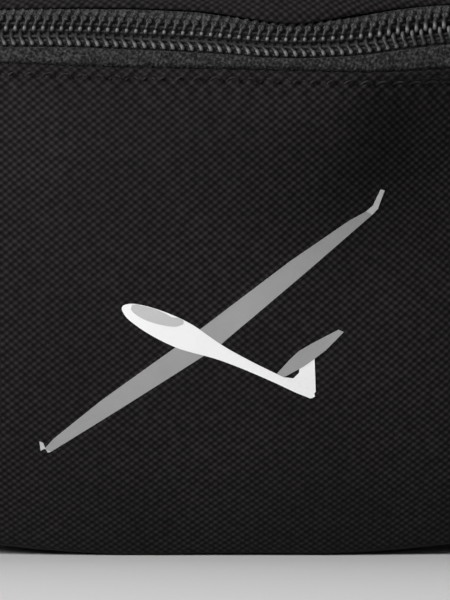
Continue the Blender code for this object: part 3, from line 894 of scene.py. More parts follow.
@dataclass
class BagForm:
    """Outer form of the filled bag, which carries its middle profile from side to side."""

    slot_close: float = 5.9
    close_start: float = 102.4
    close_length: float = 6.5
    low_wave: tuple = (
        (-122, 0), (-75, 0.2), (-48, 1.25), (-27, 0.35), (0, -0.25), (14, -0.55), (31, -0.85), (48, 0.05), (75, 0.2), (122, 0),
    )
    high_wave: tuple = (
        (-122, 0), (-75, 0), (-48, -0.1), (-27, 0.1), (-13, -0.35), (-5, -0.9), (0, -1.7), (8, -3.3), (16, -3.95),
        (23, -2.7), (32, -0.9), (39, 0.3), (48, 1.1), (60, 0.6), (75, 0), (122, 0),
    )
    high_out: tuple = ((-122, 0), (-20, 0), (-8, 0.2), (0, 0.6), (8, 1.2), (16, 1.4), (23, 1.2), (31, 0.5), (38, 0), (122, 0))

    def end_share(self, x: Array) -> Array:
        """0 along the zips and 1 at the very side, on a quarter circle."""
        t = np.clip((np.abs(x) - ZIP_END_X) / (HALF_WIDTH - ZIP_END_X), 0, 1)
        return 1 - np.sqrt(1 - t * t)

    def bottom(self, x: Array) -> Array:
        """Height of the underside at x."""
        arc = (x * x - FACET_HALF**2) / (2 * BOTTOM_RADIUS)
        corner = BOTTOM_CORNER_RISE * (np.abs(x) / HALF_WIDTH) ** BOTTOM_CORNER_POWER
        return np.maximum(0.0, arc) + corner

    def closing(self, x: Array) -> Array:
        """0 where the zips are open to view and 1 where the cloth has closed past their ends."""
        return ease((np.abs(x) - self.close_start) / self.close_length)

    def carry(self, x: Array, y: Array, z: Array, follow: Array) -> Array:
        """Carry points of the middle profile to x.

        Args:
            x: where they go.
            y: depth in the middle.
            z: height in the middle.
            follow: 1 for what goes with the front's plan arc, 0 for what stays.

        Returns:
            The points, with a last axis of 3.
        """
        x, y, z, follow = np.broadcast_arrays(x, y, z, follow)
        share = self.end_share(x)
        drop = ZIP_RADIUS - np.sqrt(ZIP_RADIUS**2 - x * x)
        low = self.bottom(x)
        band = END_BAND * share
        top = HEIGHT - drop - END_TOP * share
        crust = HEIGHT - TOP_CRUST
        start = BAND_HIGH_Z + FABRIC_EDGE
        below = low + (BAND_LOW_Z - band - low) * z / BAND_LOW_Z
        above = start - band + (top - TOP_CRUST - start + band) * (z - start) / (crust - start)
        new_z = np.where(z <= BAND_LOW_Z, below, np.where(z <= start, z - band, above))
        new_z = np.where(z > crust, top - (HEIGHT - z), new_z)
        back = -END_BACK * share * ease((y - MAIN_ZIP_Y) / 12.0)
        return np.stack([x, y + (drop + END_FRONT * share) * follow + back, new_z], axis=-1)

    def columns(self) -> Array:
        """Stations across the bag, even along the zips and round the ends."""
        flat = np.arange(-ZIP_END_X, ZIP_END_X + 0.5, 1.0)
        turn = np.linspace(0, math.pi / 2, 17)[1:]
        side = ZIP_END_X + (HALF_WIDTH - ZIP_END_X) * np.sin(turn)
        return np.concatenate([-side[::-1], flat, side])


@dataclass
class Compartment:
    """One half of the body: a cloth that runs over its profile and closes at both sides."""

    form: BagForm
    name: str
    node: str
    knots: tuple
    focus: tuple
    divider: tuple = (
        (-6.7, 1.0, 0.35), (-13.4, 25.0, 0.45), (-20.0, 60.0, 0.6), (-26.8, 95.0, 0.8), (-32.0, 105.0, 0.9), (-37.6, 111.2, 1.0),
    )
    level: tuple = (-40.0, 60.0)
    side: float = 1.0
    cap_columns: int = 14
    dome: float = 3.0
    nest: float = 1.0
    easing: float = 70.0
    cloth: Cloth = field(init=False)
    profile: Curve = field(init=False)

    def shape(self) -> None:
        """Lay the cloth over the form, with its edges carried by the zips' waves."""
        self.profile = Curve(self.knots)
        marks = [self.profile.nearest(spot) for spot in self.focus]
        across = graded(self.profile.length, marks, 0.32, 1.7, 9.0)
        rows = self.profile.read(across)
        y, z, follow = (rows[:, i : i + 1] for i in range(3))
        low, high, front, back, floor = (np.clip(rows[:, i : i + 1], 0, 1) for i in range(3, 8))
        x = self.form.columns()[None, :]
        close = self.form.closing(x)
        slide = (wave(self.form.low_wave, x) + 6.3 * close) * low + (wave(self.form.high_wave, x) - 6.3 * close) * high
        y = y + slide * math.sin(BAND_TILT) + self.form.slot_close * close * (front - back)
        y = y - (rows[:, 0:1] - MAIN_ZIP_Y) * 0.86 * close * floor
        z = z + slide * math.cos(BAND_TILT) + 1.1 * close * floor
        proud = wave(self.form.high_out, x) * high
        y = y - proud * math.cos(BAND_TILT)
        z = z + proud * math.sin(BAND_TILT)
        points = self.form.carry(x, y, z, follow)
        seam = Curve(self.divider).read(across / across[-1] * Curve(self.divider).length)
        x_run = np.concatenate([[0.0], np.cumsum(np.linalg.norm(np.diff(points[len(across) // 2], axis=0), axis=1))])
        along = x_run - x_run[-1] / 2
        share = np.arange(1, self.cap_columns + 1) / self.cap_columns
        out = self.dome * np.sin(math.pi * share) ** 2 - self.nest * ease((share - 0.8) / 0.2)
        for sign in (-1, 1):
            edge = points[:, 0] if sign < 0 else points[:, -1]
            goal = self.form.carry(np.full(len(across), sign * HALF_WIDTH), seam[:, 0], seam[:, 1], seam[:, 2])
            cap = edge[:, None] + (goal - edge)[:, None] * share[None, :, None]
            for column, part in enumerate(share):
                for _ in range(int(self.easing * part)):
                    cap[1:-1, column] = (cap[:-2, column] + 2 * cap[1:-1, column] + cap[2:, column]) / 4
            cap[..., 0] += sign * out[None, :]
            reach = np.median(np.linalg.norm(goal - edge, axis=1)) * share
            if sign < 0:
                points = np.concatenate([cap[:, ::-1], points], axis=1)
                along = np.concatenate([(along[0] - reach)[::-1], along])
            else:
                points = np.concatenate([points, cap], axis=1)
                along = np.concatenate([along, along[-1] + reach])
        self.cloth = Cloth(points, along, across, self.side)
        self.cloth.measure(int(np.argmin(np.abs(across - self.profile.nearest(self.level)))))

    def edge_distance(self, spot: Sequence[float]) -> Array:
        """Distance of each row from the profile's nearest point to a spot."""
        return (self.cloth.across - self.profile.nearest(spot))[:, None]

    def crease(self) -> None:
        """Give the cloth its fullness, puckers and stitch grooves. Each kind has its own."""

    def build(self, palette: Palette) -> None:
        """Make the compartment's cloth.

        Args:
            palette: finishes of the bag.
        """
        self.shape()
        self.crease()
        work = Meshwork()
        self.cloth.add_to(work)
        made = work.make(self.name, palette[Palette.shell])
        settle(made, "bag", Slot.SHELL, self.node)


def groove(distance: Array, u: Array, pitch: float = 4.0, depth: float = 1.2) -> Array:
    """Height of a topstitched line: a furrow with puckers on both sides."""
    beat = np.cos(math.tau * u / pitch)
    furrow = -depth * bell(distance, 0.8) * (0.5 + 0.5 * beat)
    pucker = 0.35 * bell(np.abs(distance) - 1.6, 1.1) * beat
    return furrow + pucker


@dataclass
class FrontPocket(Compartment):
    """Front pocket: the printed panel, which bellies out and leans in toward its foot."""

    name: str = "front_pocket_shell"
    node: str = "front_pocket"
    knots: tuple = (
        # y, z, follow, then the weights: low edge, high edge, front and back of the top slot, its floor
        (-7.4, 1.9, 0.36, 0, 0, 0, 0, 0),
        (-8.3, 0.5, 0.38, 0, 0, 0, 0, 0),
        (-10.2, 0.02, 0.42, 0, 0, 0, 0, 0),
        (-15.2, 0.05, 0.52, 0, 0, 0, 0, 0),
        (-17.6, 0.55, 0.57, 0, 0, 0, 0, 0),
        (-18.9, 1.9, 0.6, 0, 0, 0, 0, 0),
        (-20.8, 4.5, 0.63, 0, 0, 0, 0, 0),
        (-23.4, 8.6, 0.67, 0, 0, 0, 0, 0),
        (-26.5, 13.8, 0.71, 0, 0, 0, 0, 0),
        (-29.6, 20.0, 0.75, 0, 0, 0, 0, 0),
        (-33.2, 29.0, 0.8, 0, 0, 0, 0, 0),
        (-36.6, 41.0, 0.9, 0, 0, 0, 0, 0),
        (-39.2, 54.0, 0.95, 0, 0, 0, 0, 0),
        (-40.8, 68.0, 1, 0, 0, 0, 0, 0),
        (-41.3, 82.0, 1, 0.12, 0, 0, 0, 0),
        (-41.0, 94.0, 1, 0.55, 0, 0, 0, 0),
        (-40.6, 100.0, 1, 0.9, 0, 0, 0, 0),
        (-40.35, 103.4, 1, 1, 0, 0, 0, 0),
        (-40.15, 104.2, 1, 1, 0, 0, 0, 0),
        (-39.7, 104.65, 1, 1, 0, 0, 0, 0),
        (-39.15, 104.6, 1, 1, 0, 0, 0, 0),
        (-38.85, 104.1, 1, 1, 0, 0, 0, 0),
        (-38.8, 102.8, 1, 1, 0, 0, 0, 0),
    )
    focus: tuple = ((-39.7, 104.65), (-40.4, 102.2), (-8.3, 0.5))

    def crease(self) -> None:
        """Soft fullness, a hollow by the zip's right end, and the zip's topstitched edge."""
        u, v = self.cloth.along[None, :], self.cloth.across[:, None]
        below = -self.edge_distance((-39.7, 104.65))
        inside = ease(below / 12.0) * ease(v / 14.0)
        full = 0.9 * swell(u / 62, v / 48, 0 * u, 2.0) + 0.3 * swell(u / 21, v / 30, 0 * u, 8.0)
        ramp = 24 + 7 * ease((46 - u) / 36)
        reach = np.clip(below / ramp, 0, 1)
        fall = ease(reach) + (1 - (1 - reach) ** 2 - ease(reach)) * ease((u - 22) / 20)
        hollow = -15.0 * bell(u - 60, 37) * fall * bell(np.clip(below - ramp + 2, 0, None), 24)
        side = ease((np.abs(u) - 78) / 30) * (0.9 * swell(u / 11, v / 34, 0 * u, 4.0))
        relief = inside * (full + side) + hollow
        relief = relief + groove(below - 2.8, u) * ease((104 - np.abs(u)) / 2)
        relief = relief + 0.22 * ease(below / 3.0) * bell(below - 6, 4) * swell(u / 7, v / 9, 0 * u, 6.0)
        self.cloth.lift(relief * ease((self.cloth.along[-1] - 12 - np.abs(u)) / 6))


@dataclass
class MainCompartment(Compartment):
    """Main compartment: back, underside and the top, with the slot of its own zip."""

    level: tuple = (38.0, 60.0)
    side: float = -1.0
    name: str = "main_compartment_shell"
    node: str = "main_compartment"
    knots: tuple = (
        (-6.0, 1.9, 0.34, 0, 0, 0, 0, 0),
        (-5.2, 0.5, 0.33, 0, 0, 0, 0, 0),
        (-3.2, 0.0, 0.3, 0, 0, 0, 0, 0),
        (12.0, 0.0, 0.1, 0, 0, 0, 0, 0),
        (28.0, 0.0, 0, 0, 0, 0, 0, 0),
        (32.6, 1.4, 0, 0, 0, 0, 0, 0),
        (36.4, 6.0, 0, 0, 0, 0, 0, 0),
        (37.8, 12.0, 0, 0, 0, 0, 0, 0),
        (38.0, 22.0, 0, 0, 0, 0, 0, 0),
        (38.0, 60.0, 0, 0, 0, 0, 0, 0),
        (38.0, 108.0, 0, 0, 0, 0, 0, 0),
        (37.8, 120.0, 0, 0, 0, 0, 0, 0),
        (35.8, 130.0, 0, 0, 0, 0, 0, 0),
        (30.0, 137.2, 0, 0, 0, 0, 0.15, 0),
        (22.0, 141.0, 0, 0, 0, 0, 0.75, 0),
        (17.0, 141.9, 0, 0, 0, 0, 1, 0),
        (15.7, 142.0, 0, 0, 0, 0, 1, 0),
        (15.1, 141.75, 0, 0, 0, 0, 1, 0),
        (14.9, 141.2, 0, 0, 0, 0, 1, 0),
        (14.8, 140.6, 0, 0, 0, 0, 0.4, 0.6),
        (14.0, 140.15, 0, 0, 0, 0, 0, 1),
        (8.0, 140.1, 0, 0, 0, 0, 0, 1),
        (2.0, 140.15, 0, 0, 0, 0, 0, 1),
        (1.2, 140.6, 0, 0, 0, 0.4, 0, 0.6),
        (1.1, 141.2, 0, 0, 0, 1, 0, 0),
        (0.9, 141.75, 0, 0, 0, 1, 0, 0),
        (0.3, 142.0, 0, 0, 0, 1, 0, 0),
        (-1.0, 141.9, 0.03, 0, 0, 1, 0, 0),
        (-4.5, 141.2, 0.15, 0, 0, 0.75, 0, 0),
        (-13.0, 138.6, 0.4, 0, 0, 0.1, 0, 0),
        (-22.5, 132.8, 0.7, 0, 0.15, 0, 0, 0),
        (-31.0, 124.6, 0.9, 0, 0.7, 0, 0, 0),
        (-35.2, 120.1, 0.98, 0, 0.97, 0, 0, 0),
        (-36.3, 118.7, 1, 0, 1, 0, 0, 0),
        (-36.45, 118.1, 1, 0, 1, 0, 0, 0),
        (-36.1, 117.75, 1, 0, 1, 0, 0, 0),
        (-35.6, 117.8, 1, 0, 1, 0, 0, 0),
        (-35.3, 118.4, 1, 0, 1, 0, 0, 0),
    )
    focus: tuple = ((15.1, 141.75), (0.9, 141.75), (-36.45, 118.1), (-34.5, 120.9), (-5.2, 0.5), (3.5, 142.0), (19.0, 141.6))

    def crease(self) -> None:
        """Sag over the pocket zip, side folds, and the topstitched edges of both zips."""
        u, v = self.cloth.along[None, :], self.cloth.across[:, None]
        nose = -self.edge_distance((-36.45, 118.1))
        front = -self.edge_distance((0.9, 141.75))
        back = -self.edge_distance((15.1, 141.75))
        rear = self.cloth.across[:, None]
        on_back = bell(np.clip(np.abs(self.edge_distance((38.0, 64.0))) - 50, 0, None), 6)
        free = ease(rear / 40.0) * (1 - on_back) * ease(np.abs(back) / 7) * ease(np.abs(front) / 7) * ease(nose / 7)
        full = 0.9 * swell(u / 46, v / 26, 0 * u, 12.0) + 0.4 * swell(u / 17, v / 15, 0 * u, 5.0)
        side = ease((np.abs(u) - 84) / 24) * 1.1 * swell(u / 10, v / 22, 0 * u, 9.0)
        sag = 1.2 * bell(u - 14, 13) * bell(nose - 8, 7)
        relief = free * (full + side) + ease(nose / 2) * sag
        in_zip = ease((104 - np.abs(u)) / 2)
        relief = relief + groove(nose - 7.0, u) * in_zip
        relief = relief + (groove(front + 2.8, u + 1) + groove(back - 2.8, u)) * in_zip
        self.cloth.lift(relief * ease((self.cloth.along[-1] - 14 - np.abs(u)) / 6))


@dataclass
class BodySeams:
    """Piping round the pocket's seam, and topstitching along the zips."""

    pocket: FrontPocket
    main: MainCompartment
    piping_radius: float = 1.15

    def piping_path(self) -> Array:
        """Middle line of the piping: along the right side, the foot and the left side."""
        form = self.pocket.form
        seam = Curve(self.pocket.divider).read(np.linspace(0, Curve(self.pocket.divider).length, 60))[::-1]
        turn = np.linspace(0, math.pi / 2, 20)
        x_end = ZIP_END_X + 2.4 + (HALF_WIDTH - ZIP_END_X - 2.4) * np.sin(turn)
        start = form.carry(x_end, np.full(20, -37.7), np.full(20, 111.3), np.ones(20))
        side = form.carry(np.full(60, HALF_WIDTH), seam[:, 0], seam[:, 1], seam[:, 2])[1:]
        side[:, 0] += 0.6
        x_low = np.concatenate([x_end[::-1][1:], np.arange(103, -0.1, -3.0)])
        low = form.carry(x_low, np.full(len(x_low), -6.7), np.zeros(len(x_low)), np.full(len(x_low), 0.35))
        low[:, 2] += self.piping_radius
        half = np.concatenate([start, side, low])
        return np.concatenate([half, (half * (-1, 1, 1))[::-1][1:]])

    def build(self, palette: Palette) -> None:
        """Make the piping and the stitch rows.

        Args:
            palette: finishes of the bag.
        """
        path = self.piping_path()
        run = np.concatenate([[0.0], np.cumsum(np.linalg.norm(np.diff(path, axis=0), axis=1))])
        even = np.linspace(0, run[-1], 420)
        path = np.stack([np.interp(even, run, path[:, k]) for k in range(3)], axis=1)
        for _ in range(6):
            path[1:-1] = (path[:-2] + 2 * path[1:-1] + path[2:]) / 4
        work = Meshwork()
        work.tube(path, self.piping_radius, np.array([0.0, 1.0, 0.02]), 10)
        settle(work.make("pocket_piping", palette[Palette.shell]), "bag", Slot.SHELL)
        work = Meshwork()
        u = np.arange(-101.0, 101.1, 1.0)
        rows = (
            (self.pocket, (-39.7, 104.65), -2.8, 0.9), (self.main, (-36.45, 118.1), -7.0, 0.0),
            (self.main, (0.9, 141.75), 2.8, 0.0), (self.main, (15.1, 141.75), -2.8, 0.0),
        )
        for part, spot, offset, bow in rows:
            across = np.full(len(u), part.profile.nearest(spot) + offset)
            points, normals = part.cloth.spots(u, across)
            stitch(work, points, normals, radius=0.2, bow=bow)
        settle(work.make("zip_topstitching", palette[Palette.thread]), "bag", Slot.SHELL)


# Zips


@dataclass(frozen=True)
class PocketLine:
    """Arc of the pocket zip: u runs along it, v up across the band, n outward."""

    def place(self, u: Number, v: Number, n: Number) -> Array:
        """Points at distances along, across and outward."""
        u, v, n = np.broadcast_arrays(u, v, n)
        radius = ZIP_RADIUS - v * math.sin(BAND_TILT) + n * math.cos(BAND_TILT)
        height = POCKET_ZIP_Z + v * math.cos(BAND_TILT) + n * math.sin(BAND_TILT)
        turn = u / ZIP_RADIUS
        return np.stack([radius * np.sin(turn), POCKET_ZIP_Y + ZIP_RADIUS - radius * np.cos(turn), height], axis=-1)

    def way(self, u: Number) -> Array:
        """Direction of the zip at u."""
        turn = np.asarray(u) / ZIP_RADIUS
        return np.stack([np.cos(turn), np.sin(turn), 0 * turn], axis=-1)


@dataclass(frozen=True)
class TopLine:
    """Arc of the main zip over the bag's top: u runs along it, v toward the back, n up."""

    def place(self, u: Number, v: Number, n: Number) -> Array:
        """Points at distances along, across and outward."""
        u, v, n = np.broadcast_arrays(u, v, n)
        turn = u / ZIP_RADIUS
        radius = ZIP_RADIUS + n
        return np.stack([radius * np.sin(turn), MAIN_ZIP_Y + v, MAIN_LEDGE_Z - ZIP_RADIUS + radius * np.cos(turn)], axis=-1)

    def way(self, u: Number) -> Array:
        """Direction of the zip at u."""
        turn = np.asarray(u) / ZIP_RADIUS
        return np.stack([np.cos(turn), 0 * turn, -np.sin(turn)], axis=-1)


@dataclass
class CoilZip:
    """A size 8 nylon coil zip: two tapes, two interlocked coils and their sewing."""

    prefix: str
    line: PocketLine | TopLine
    lower: str
    upper: str
    edges: tuple  # v of the cloth's edge under and over the chain
    waves: tuple = (((-120, 0), (120, 0)), ((-120, 0), (120, 0)))  # how the two edges stray
    centre: tuple = ((-120, 0), (120, 0))
    tuck: tuple = ((-120, 0.5), (120, 0.5))
    pitch: float = 1.98
    strand: float = 0.5
    hidden: float = 1.0
    dip: float = 2.2
    fillers: tuple = (  # v, height with the chain tucked in and open to view, radius
        (1.25, 0.84, 1.0, 0.5), (-0.25, 0.75, 0.8, 0.45), (-1.75, 1.06, 1.0, 0.46), (-2.7, 0.95, 0.85, 0.5),
    )

    def middle(self, u: Array) -> Array:
        """How far the chain has moved across its band at u."""
        return wave(self.centre, u)

    def coil(self, side: int) -> tuple[Meshwork, Array]:
        """One coil as a continuous tube.

        Args:
            side: 1 for the upper coil and -1 for the lower.

        Returns:
            The coil's mesh, and its path as rows for each loop.
        """
        # Each row: share of a pitch, distance from the centre line, height, radius
        if side > 0:
            tucked = (
                (0.78, 3.98, 0.9, 0.9), (0.7, 3.85, 1.3, 1.0), (0.47, 2.95, 1.52, 1.0), (0.26, 1.9, 1.5, 1.0),
                (0.1, 1.0, 1.3, 0.9), (0.02, 0.4, 1.45, 0.78), (0.0, 0.0, 1.75, 0.74), (0.0, -0.3, 1.5, 0.78),
                (0.02, -0.2, 0.9, 1.0), (0.1, 0.5, 0.72, 1.0), (0.66, 1.8, 0.6, 1.0), (1.3, 3.3, 0.5, 1.0), (1.66, 3.9, 0.62, 0.9),
            )
            open_row = (
                (0.6, 3.98, 0.9, 0.9), (0.54, 3.85, 1.3, 1.0), (0.37, 2.95, 1.55, 1.0), (0.2, 1.9, 1.6, 1.0),
                (0.06, 1.0, 1.75, 0.95), (0.0, 0.5, 2.0, 0.84), (0.0, 0.0, 2.08, 0.84), (0.0, -0.45, 1.7, 0.86),
                (0.02, -0.2, 0.9, 1.0), (0.1, 0.5, 0.72, 1.0), (0.6, 1.8, 0.6, 1.0), (1.15, 3.3, 0.5, 1.0), (1.5, 3.9, 0.62, 0.9),
            )
        else:
            tucked = (
                (0.44, 3.35, 1.0, 0.9), (0.42, 3.2, 1.55, 0.8), (0.27, 2.75, 1.72, 0.84), (0.1, 2.1, 1.4, 0.95),
                (0.05, 1.4, 1.2, 1.0), (0.02, 0.95, 0.75, 1.0), (0.0, 0.4, 0.6, 1.0), (0.0, 0.15, 0.4, 1.0),
                (0.03, 0.35, 0.15, 1.0), (0.1, 0.9, 0.12, 1.0), (0.5, 1.8, 0.25, 1.0), (0.95, 3.0, 0.45, 1.0), (1.25, 3.35, 0.62, 0.9),
            )
            open_row = (
                (0.3, 3.35, 1.0, 0.9), (0.28, 3.2, 1.35, 0.88), (0.22, 2.8, 1.5, 0.86), (0.14, 2.2, 1.62, 0.84),
                (0.05, 1.7, 1.78, 0.8), (0.0, 1.3, 1.98, 0.78), (0.0, 0.8, 2.02, 0.78), (0.0, 0.35, 1.6, 0.8),
                (0.02, 0.4, 0.9, 1.0), (0.1, 0.9, 0.72, 1.0), (0.5, 1.8, 0.6, 1.0), (0.9, 3.0, 0.6, 1.0), (1.2, 3.35, 0.62, 0.9),
            )
        count = int(2 * (CHAIN_ARC - 1.6) / self.pitch)
        turns = -count / 2 + (0.0 if side > 0 else 0.5) + np.arange(count)
        share = wave(self.tuck, turns * self.pitch)[:, None, None]
        loops = np.array(tucked)[None] * share + np.array(open_row)[None] * (1 - share)
        seed = np.arange(count)
        loops[..., 1] *= 1 + 0.02 * swell(seed * 0.7, side + 0 * seed, 0 * seed, 1.0)[:, None]
        loops[..., 2] += 0.06 * swell(seed * 0.9, side + 0 * seed, 0 * seed, 5.0)[:, None]
        u = (turns[:, None] + loops[..., 0] + 0.05 * swell(seed * 0.8, 0 * seed, side + 0 * seed, 9.0)[:, None]) * self.pitch
        w = loops[..., 1]
        limit = side * (self.edges[side > 0] + wave(self.waves[side > 0], u) - self.middle(u))
        loops[..., 2] -= 0.8 * ease((w - limit + 0.9) / 1.2)
        path = self.line.place(u, self.middle(u) + side * w, loops[..., 2])
        work = Meshwork()
        size = self.strand * loops[..., 3].ravel()
        # painted highlight: a paler colour on the upper coil's heads and the lower loops' outer ends, only where the
        # strand stands high, passed to the material in the UV mark
        tip = 1.1 * bell(w + 0.02, 0.14) if side > 0 else 1.2 * bell(w - 3.18, 0.18)
        painted_highlight = share[..., 0] * tip + 0.7 * (1 - share[..., 0]) * bell(w - (0.1 if side > 0 else 0.95), 0.5)
        paler_share = np.where(loops[..., 2] > 1.2, painted_highlight, 0.0)
        work.tube(path.reshape(-1, 3), size, self.line.way(u.ravel()), 8, mark=paler_share.ravel())
        return work, path

    def sewing(self, path: Array, work: Meshwork) -> None:
        """Wrap the upper coil's outer ends in the fuzzy thread that sews it to its tape.

        Args:
            path: the coil's loops.
            work: mesh that gets the thread.
        """
        for i in range(len(path)):
            fine = Curve(path[i, :5], at=range(5))
            for start, end in ((0.1, 1.95), (2.1, 2.95)):
                line = fine.read(np.linspace(start, end, 7))
                around = self.strand * 1.25 * np.array([0.8, 0.98, 1.04, 1.06, 1.04, 0.98, 0.8])
                work.tube(line, around, self.line.way(0.0), 8)
    def cords(self, work: Meshwork) -> None:
        """Lay the cords that fill the coils between their loops."""
        u = np.arange(-CHAIN_ARC + 1.0, CHAIN_ARC - 0.9, self.pitch / 4)
        share = wave(self.tuck, u)
        for w, tucked, opened, radius in self.fillers:
            beat = 0.06 * np.cos(math.tau * u / self.pitch) + 0.05 * swell(u / 2, 0 * u, 0 * u, w)
            line = self.line.place(u, self.middle(u) + w, tucked * share + opened * (1 - share) + beat)
            work.tube(line, radius, np.array([0.0, 0.0, 1.0]), 8)

    def tape(self, side: int) -> Meshwork:
        """One tape, from under the shell's edge to beneath the coils.

        Args:
            side: 1 for the upper tape and -1 for the lower.

        Returns:
            The tape's mesh.
        """
        top = side > 0
        u = np.arange(-CHAIN_ARC - 1.8, CHAIN_ARC + 1.9, self.pitch / 6)
        edge = side * (self.edges[top] + wave(self.waves[top], u) - self.middle(u)) + self.hidden
        share = np.array([0.0, 0.2, 0.4, 0.55, 0.7, 0.8])[:, None]
        inner = np.array([0.25, 1.6, 2.1, 2.4, 2.6, 2.8, 3.0, 3.2, 3.5, 3.8, 4.0, 4.25])[:, None]
        rim = np.array([-1.75, -1.5, -1.25, -1.0, -0.7, 0.0])[:, None] + self.hidden - 1.0
        middle = 4.25 + (edge - 6.0)[None, :] * share[1:]
        across = np.concatenate([np.broadcast_to(inner, (12, len(u))), middle, edge[None, :] + rim])
        near = ((0, 0.7), (1.8, 0.75), (2.5, 1.3), (3.0, 1.62), (3.7, 1.68), (4.3, 1.5)) if top else (
            (0, 0.45), (3.4, 0.5), (3.85, 0.55), (4.25, 1.15), (4.9, 1.25))
        height = np.interp(across, *zip(*(near + ((6.0, 1.05), (9.0, 0.8)))))
        height = height - self.dip * ease((across - edge[None, :] + 1.7) / 0.8)
        bump = 0.12 * swell(u[None, :] / 5, across / 4, 0 * across, 3.0 + side)
        if top:  # the running stitch that holds the coil
            bump = bump - 0.35 * bell(across - 2.75, 0.22) * (0.5 + 0.5 * np.cos(math.tau * (u / self.pitch - 0.1)))[None, :]
        points = self.line.place(u[None, :], self.middle(u)[None, :] + side * across, height + bump)
        work = Meshwork()
        work.grid(points, np.stack(np.broadcast_arrays(u[None, :], side * across), axis=-1))
        return work

    def build(self, palette: Palette) -> None:
        """Make the zip's fixed pieces.

        Args:
            palette: finishes of the bag.
        """
        for side, name in ((-1, self.lower), (1, self.upper)):
            made = self.tape(side).make(f"{self.prefix}_zip_{name}", palette[Palette.tape])
            settle(made, "bag", Slot.TAPE, f"{self.prefix}_{name}")
        nodes = (f"{self.prefix}_chain",)
        for side, name in ((-1, "lower"), (1, "upper")):
            coil, path = self.coil(side)
            settle(coil.make(f"{self.prefix}_coil_{name}", palette[Palette.coil]), "bag", Slot.COIL, *nodes)
            nodes = ()
        work = Meshwork()
        self.sewing(path, work)
        settle(work.make(f"{self.prefix}_coil_sewing", palette[Palette.felt]), "bag", Slot.TAPE)
        work = Meshwork()
        self.cords(work)
        settle(work.make(f"{self.prefix}_coil_cords", palette[Palette.cord]), "bag", Slot.TAPE)
        u = np.arange(-CHAIN_ARC - 4, CHAIN_ARC + 4.1, 2.0)
        strip = self.line.place(u[None, :], np.array([-9.0, 9.0])[:, None], np.array([[-0.6], [-0.6]]))
        work = Meshwork()
        work.grid(strip)
        settle(work.make(f"{self.prefix}_zip_lining", palette[Palette.lining]), "bag", Slot.SHELL)


@dataclass
class ZipTab:
    """Grosgrain tab over one end of a zip, where the cloth's two edges meet."""

    name: str
    line: PocketLine | TopLine
    sign: int
    start: float = 103.3
    length: float = 11.0
    half: float = 9.0
    thick: float = 0.8

    def taut(self, tree: BVHTree, u: Array, v: Array) -> Array:
        """Heights of a tape that is pulled over the cloth, over its zip's arc.

        Args:
            tree: the cloths under it.
            u: places along the zip.
            v: places across it.

        Returns:
            A height for each place, in rows of v.
        """
        outside, inside = (self.line.place(u[None, :], v[:, None], n) for n in (14.0, -26.0))
        height = np.full((len(v), len(u)), -26.0)
        for spot in np.ndindex(height.shape):
            way = Vector(inside[spot] - outside[spot])
            found = tree.ray_cast(Vector(outside[spot]), way.normalized(), way.length)[3]
            if found is not None:
                height[spot] = 14.0 - found
        hull = height.copy()
        for low in range(len(v)):
            for high in range(low + 2, len(v)):
                share = ((v[low : high + 1] - v[low]) / (v[high] - v[low]))[:, None]
                chord = height[low] * (1 - share) + height[high] * share
                hull[low : high + 1] = np.maximum(hull[low : high + 1], chord)
        return hull

    def build(self, palette: Palette, tree: BVHTree) -> None:
        """Lay the tab on the cloth and sew it down.

        Args:
            palette: finishes of the bag.
            tree: the cloths under it.
        """
        u = np.sort(self.sign * np.linspace(self.start, self.start + self.length, 23))
        v = np.linspace(-self.half, self.half, 37)
        height = self.taut(tree, u, v)
        inset = np.minimum(self.length / 2 - np.abs(u - u.mean())[None, :], (self.half - np.abs(v))[:, None])
        top = height + self.thick * ease(inset / 0.8 + 0.1) - 0.3 * (inset < 0.01)
        cloth = Cloth(self.line.place(u[None, :], v[:, None], top), u, v)
        work = Meshwork()
        work.grid(cloth.points, cloth.uv[..., ::-1])
        settle(work.make(self.name, palette[Palette.binding]), "bag", Slot.WEBBING)
        work = Meshwork()
        for place in (1.4, 2.3, self.length - 1.6):
            across = np.linspace(-self.half + 1.2, self.half - 1.2, 60)
            spots, normals = cloth.spots(np.full(60, self.sign * (self.start + place)), across)
            stitch(work, spots, normals, 1.5, 0.2)
        settle(work.make(f"{self.name}_tack", palette[Palette.thread]), "bag", Slot.WEBBING)


# Print


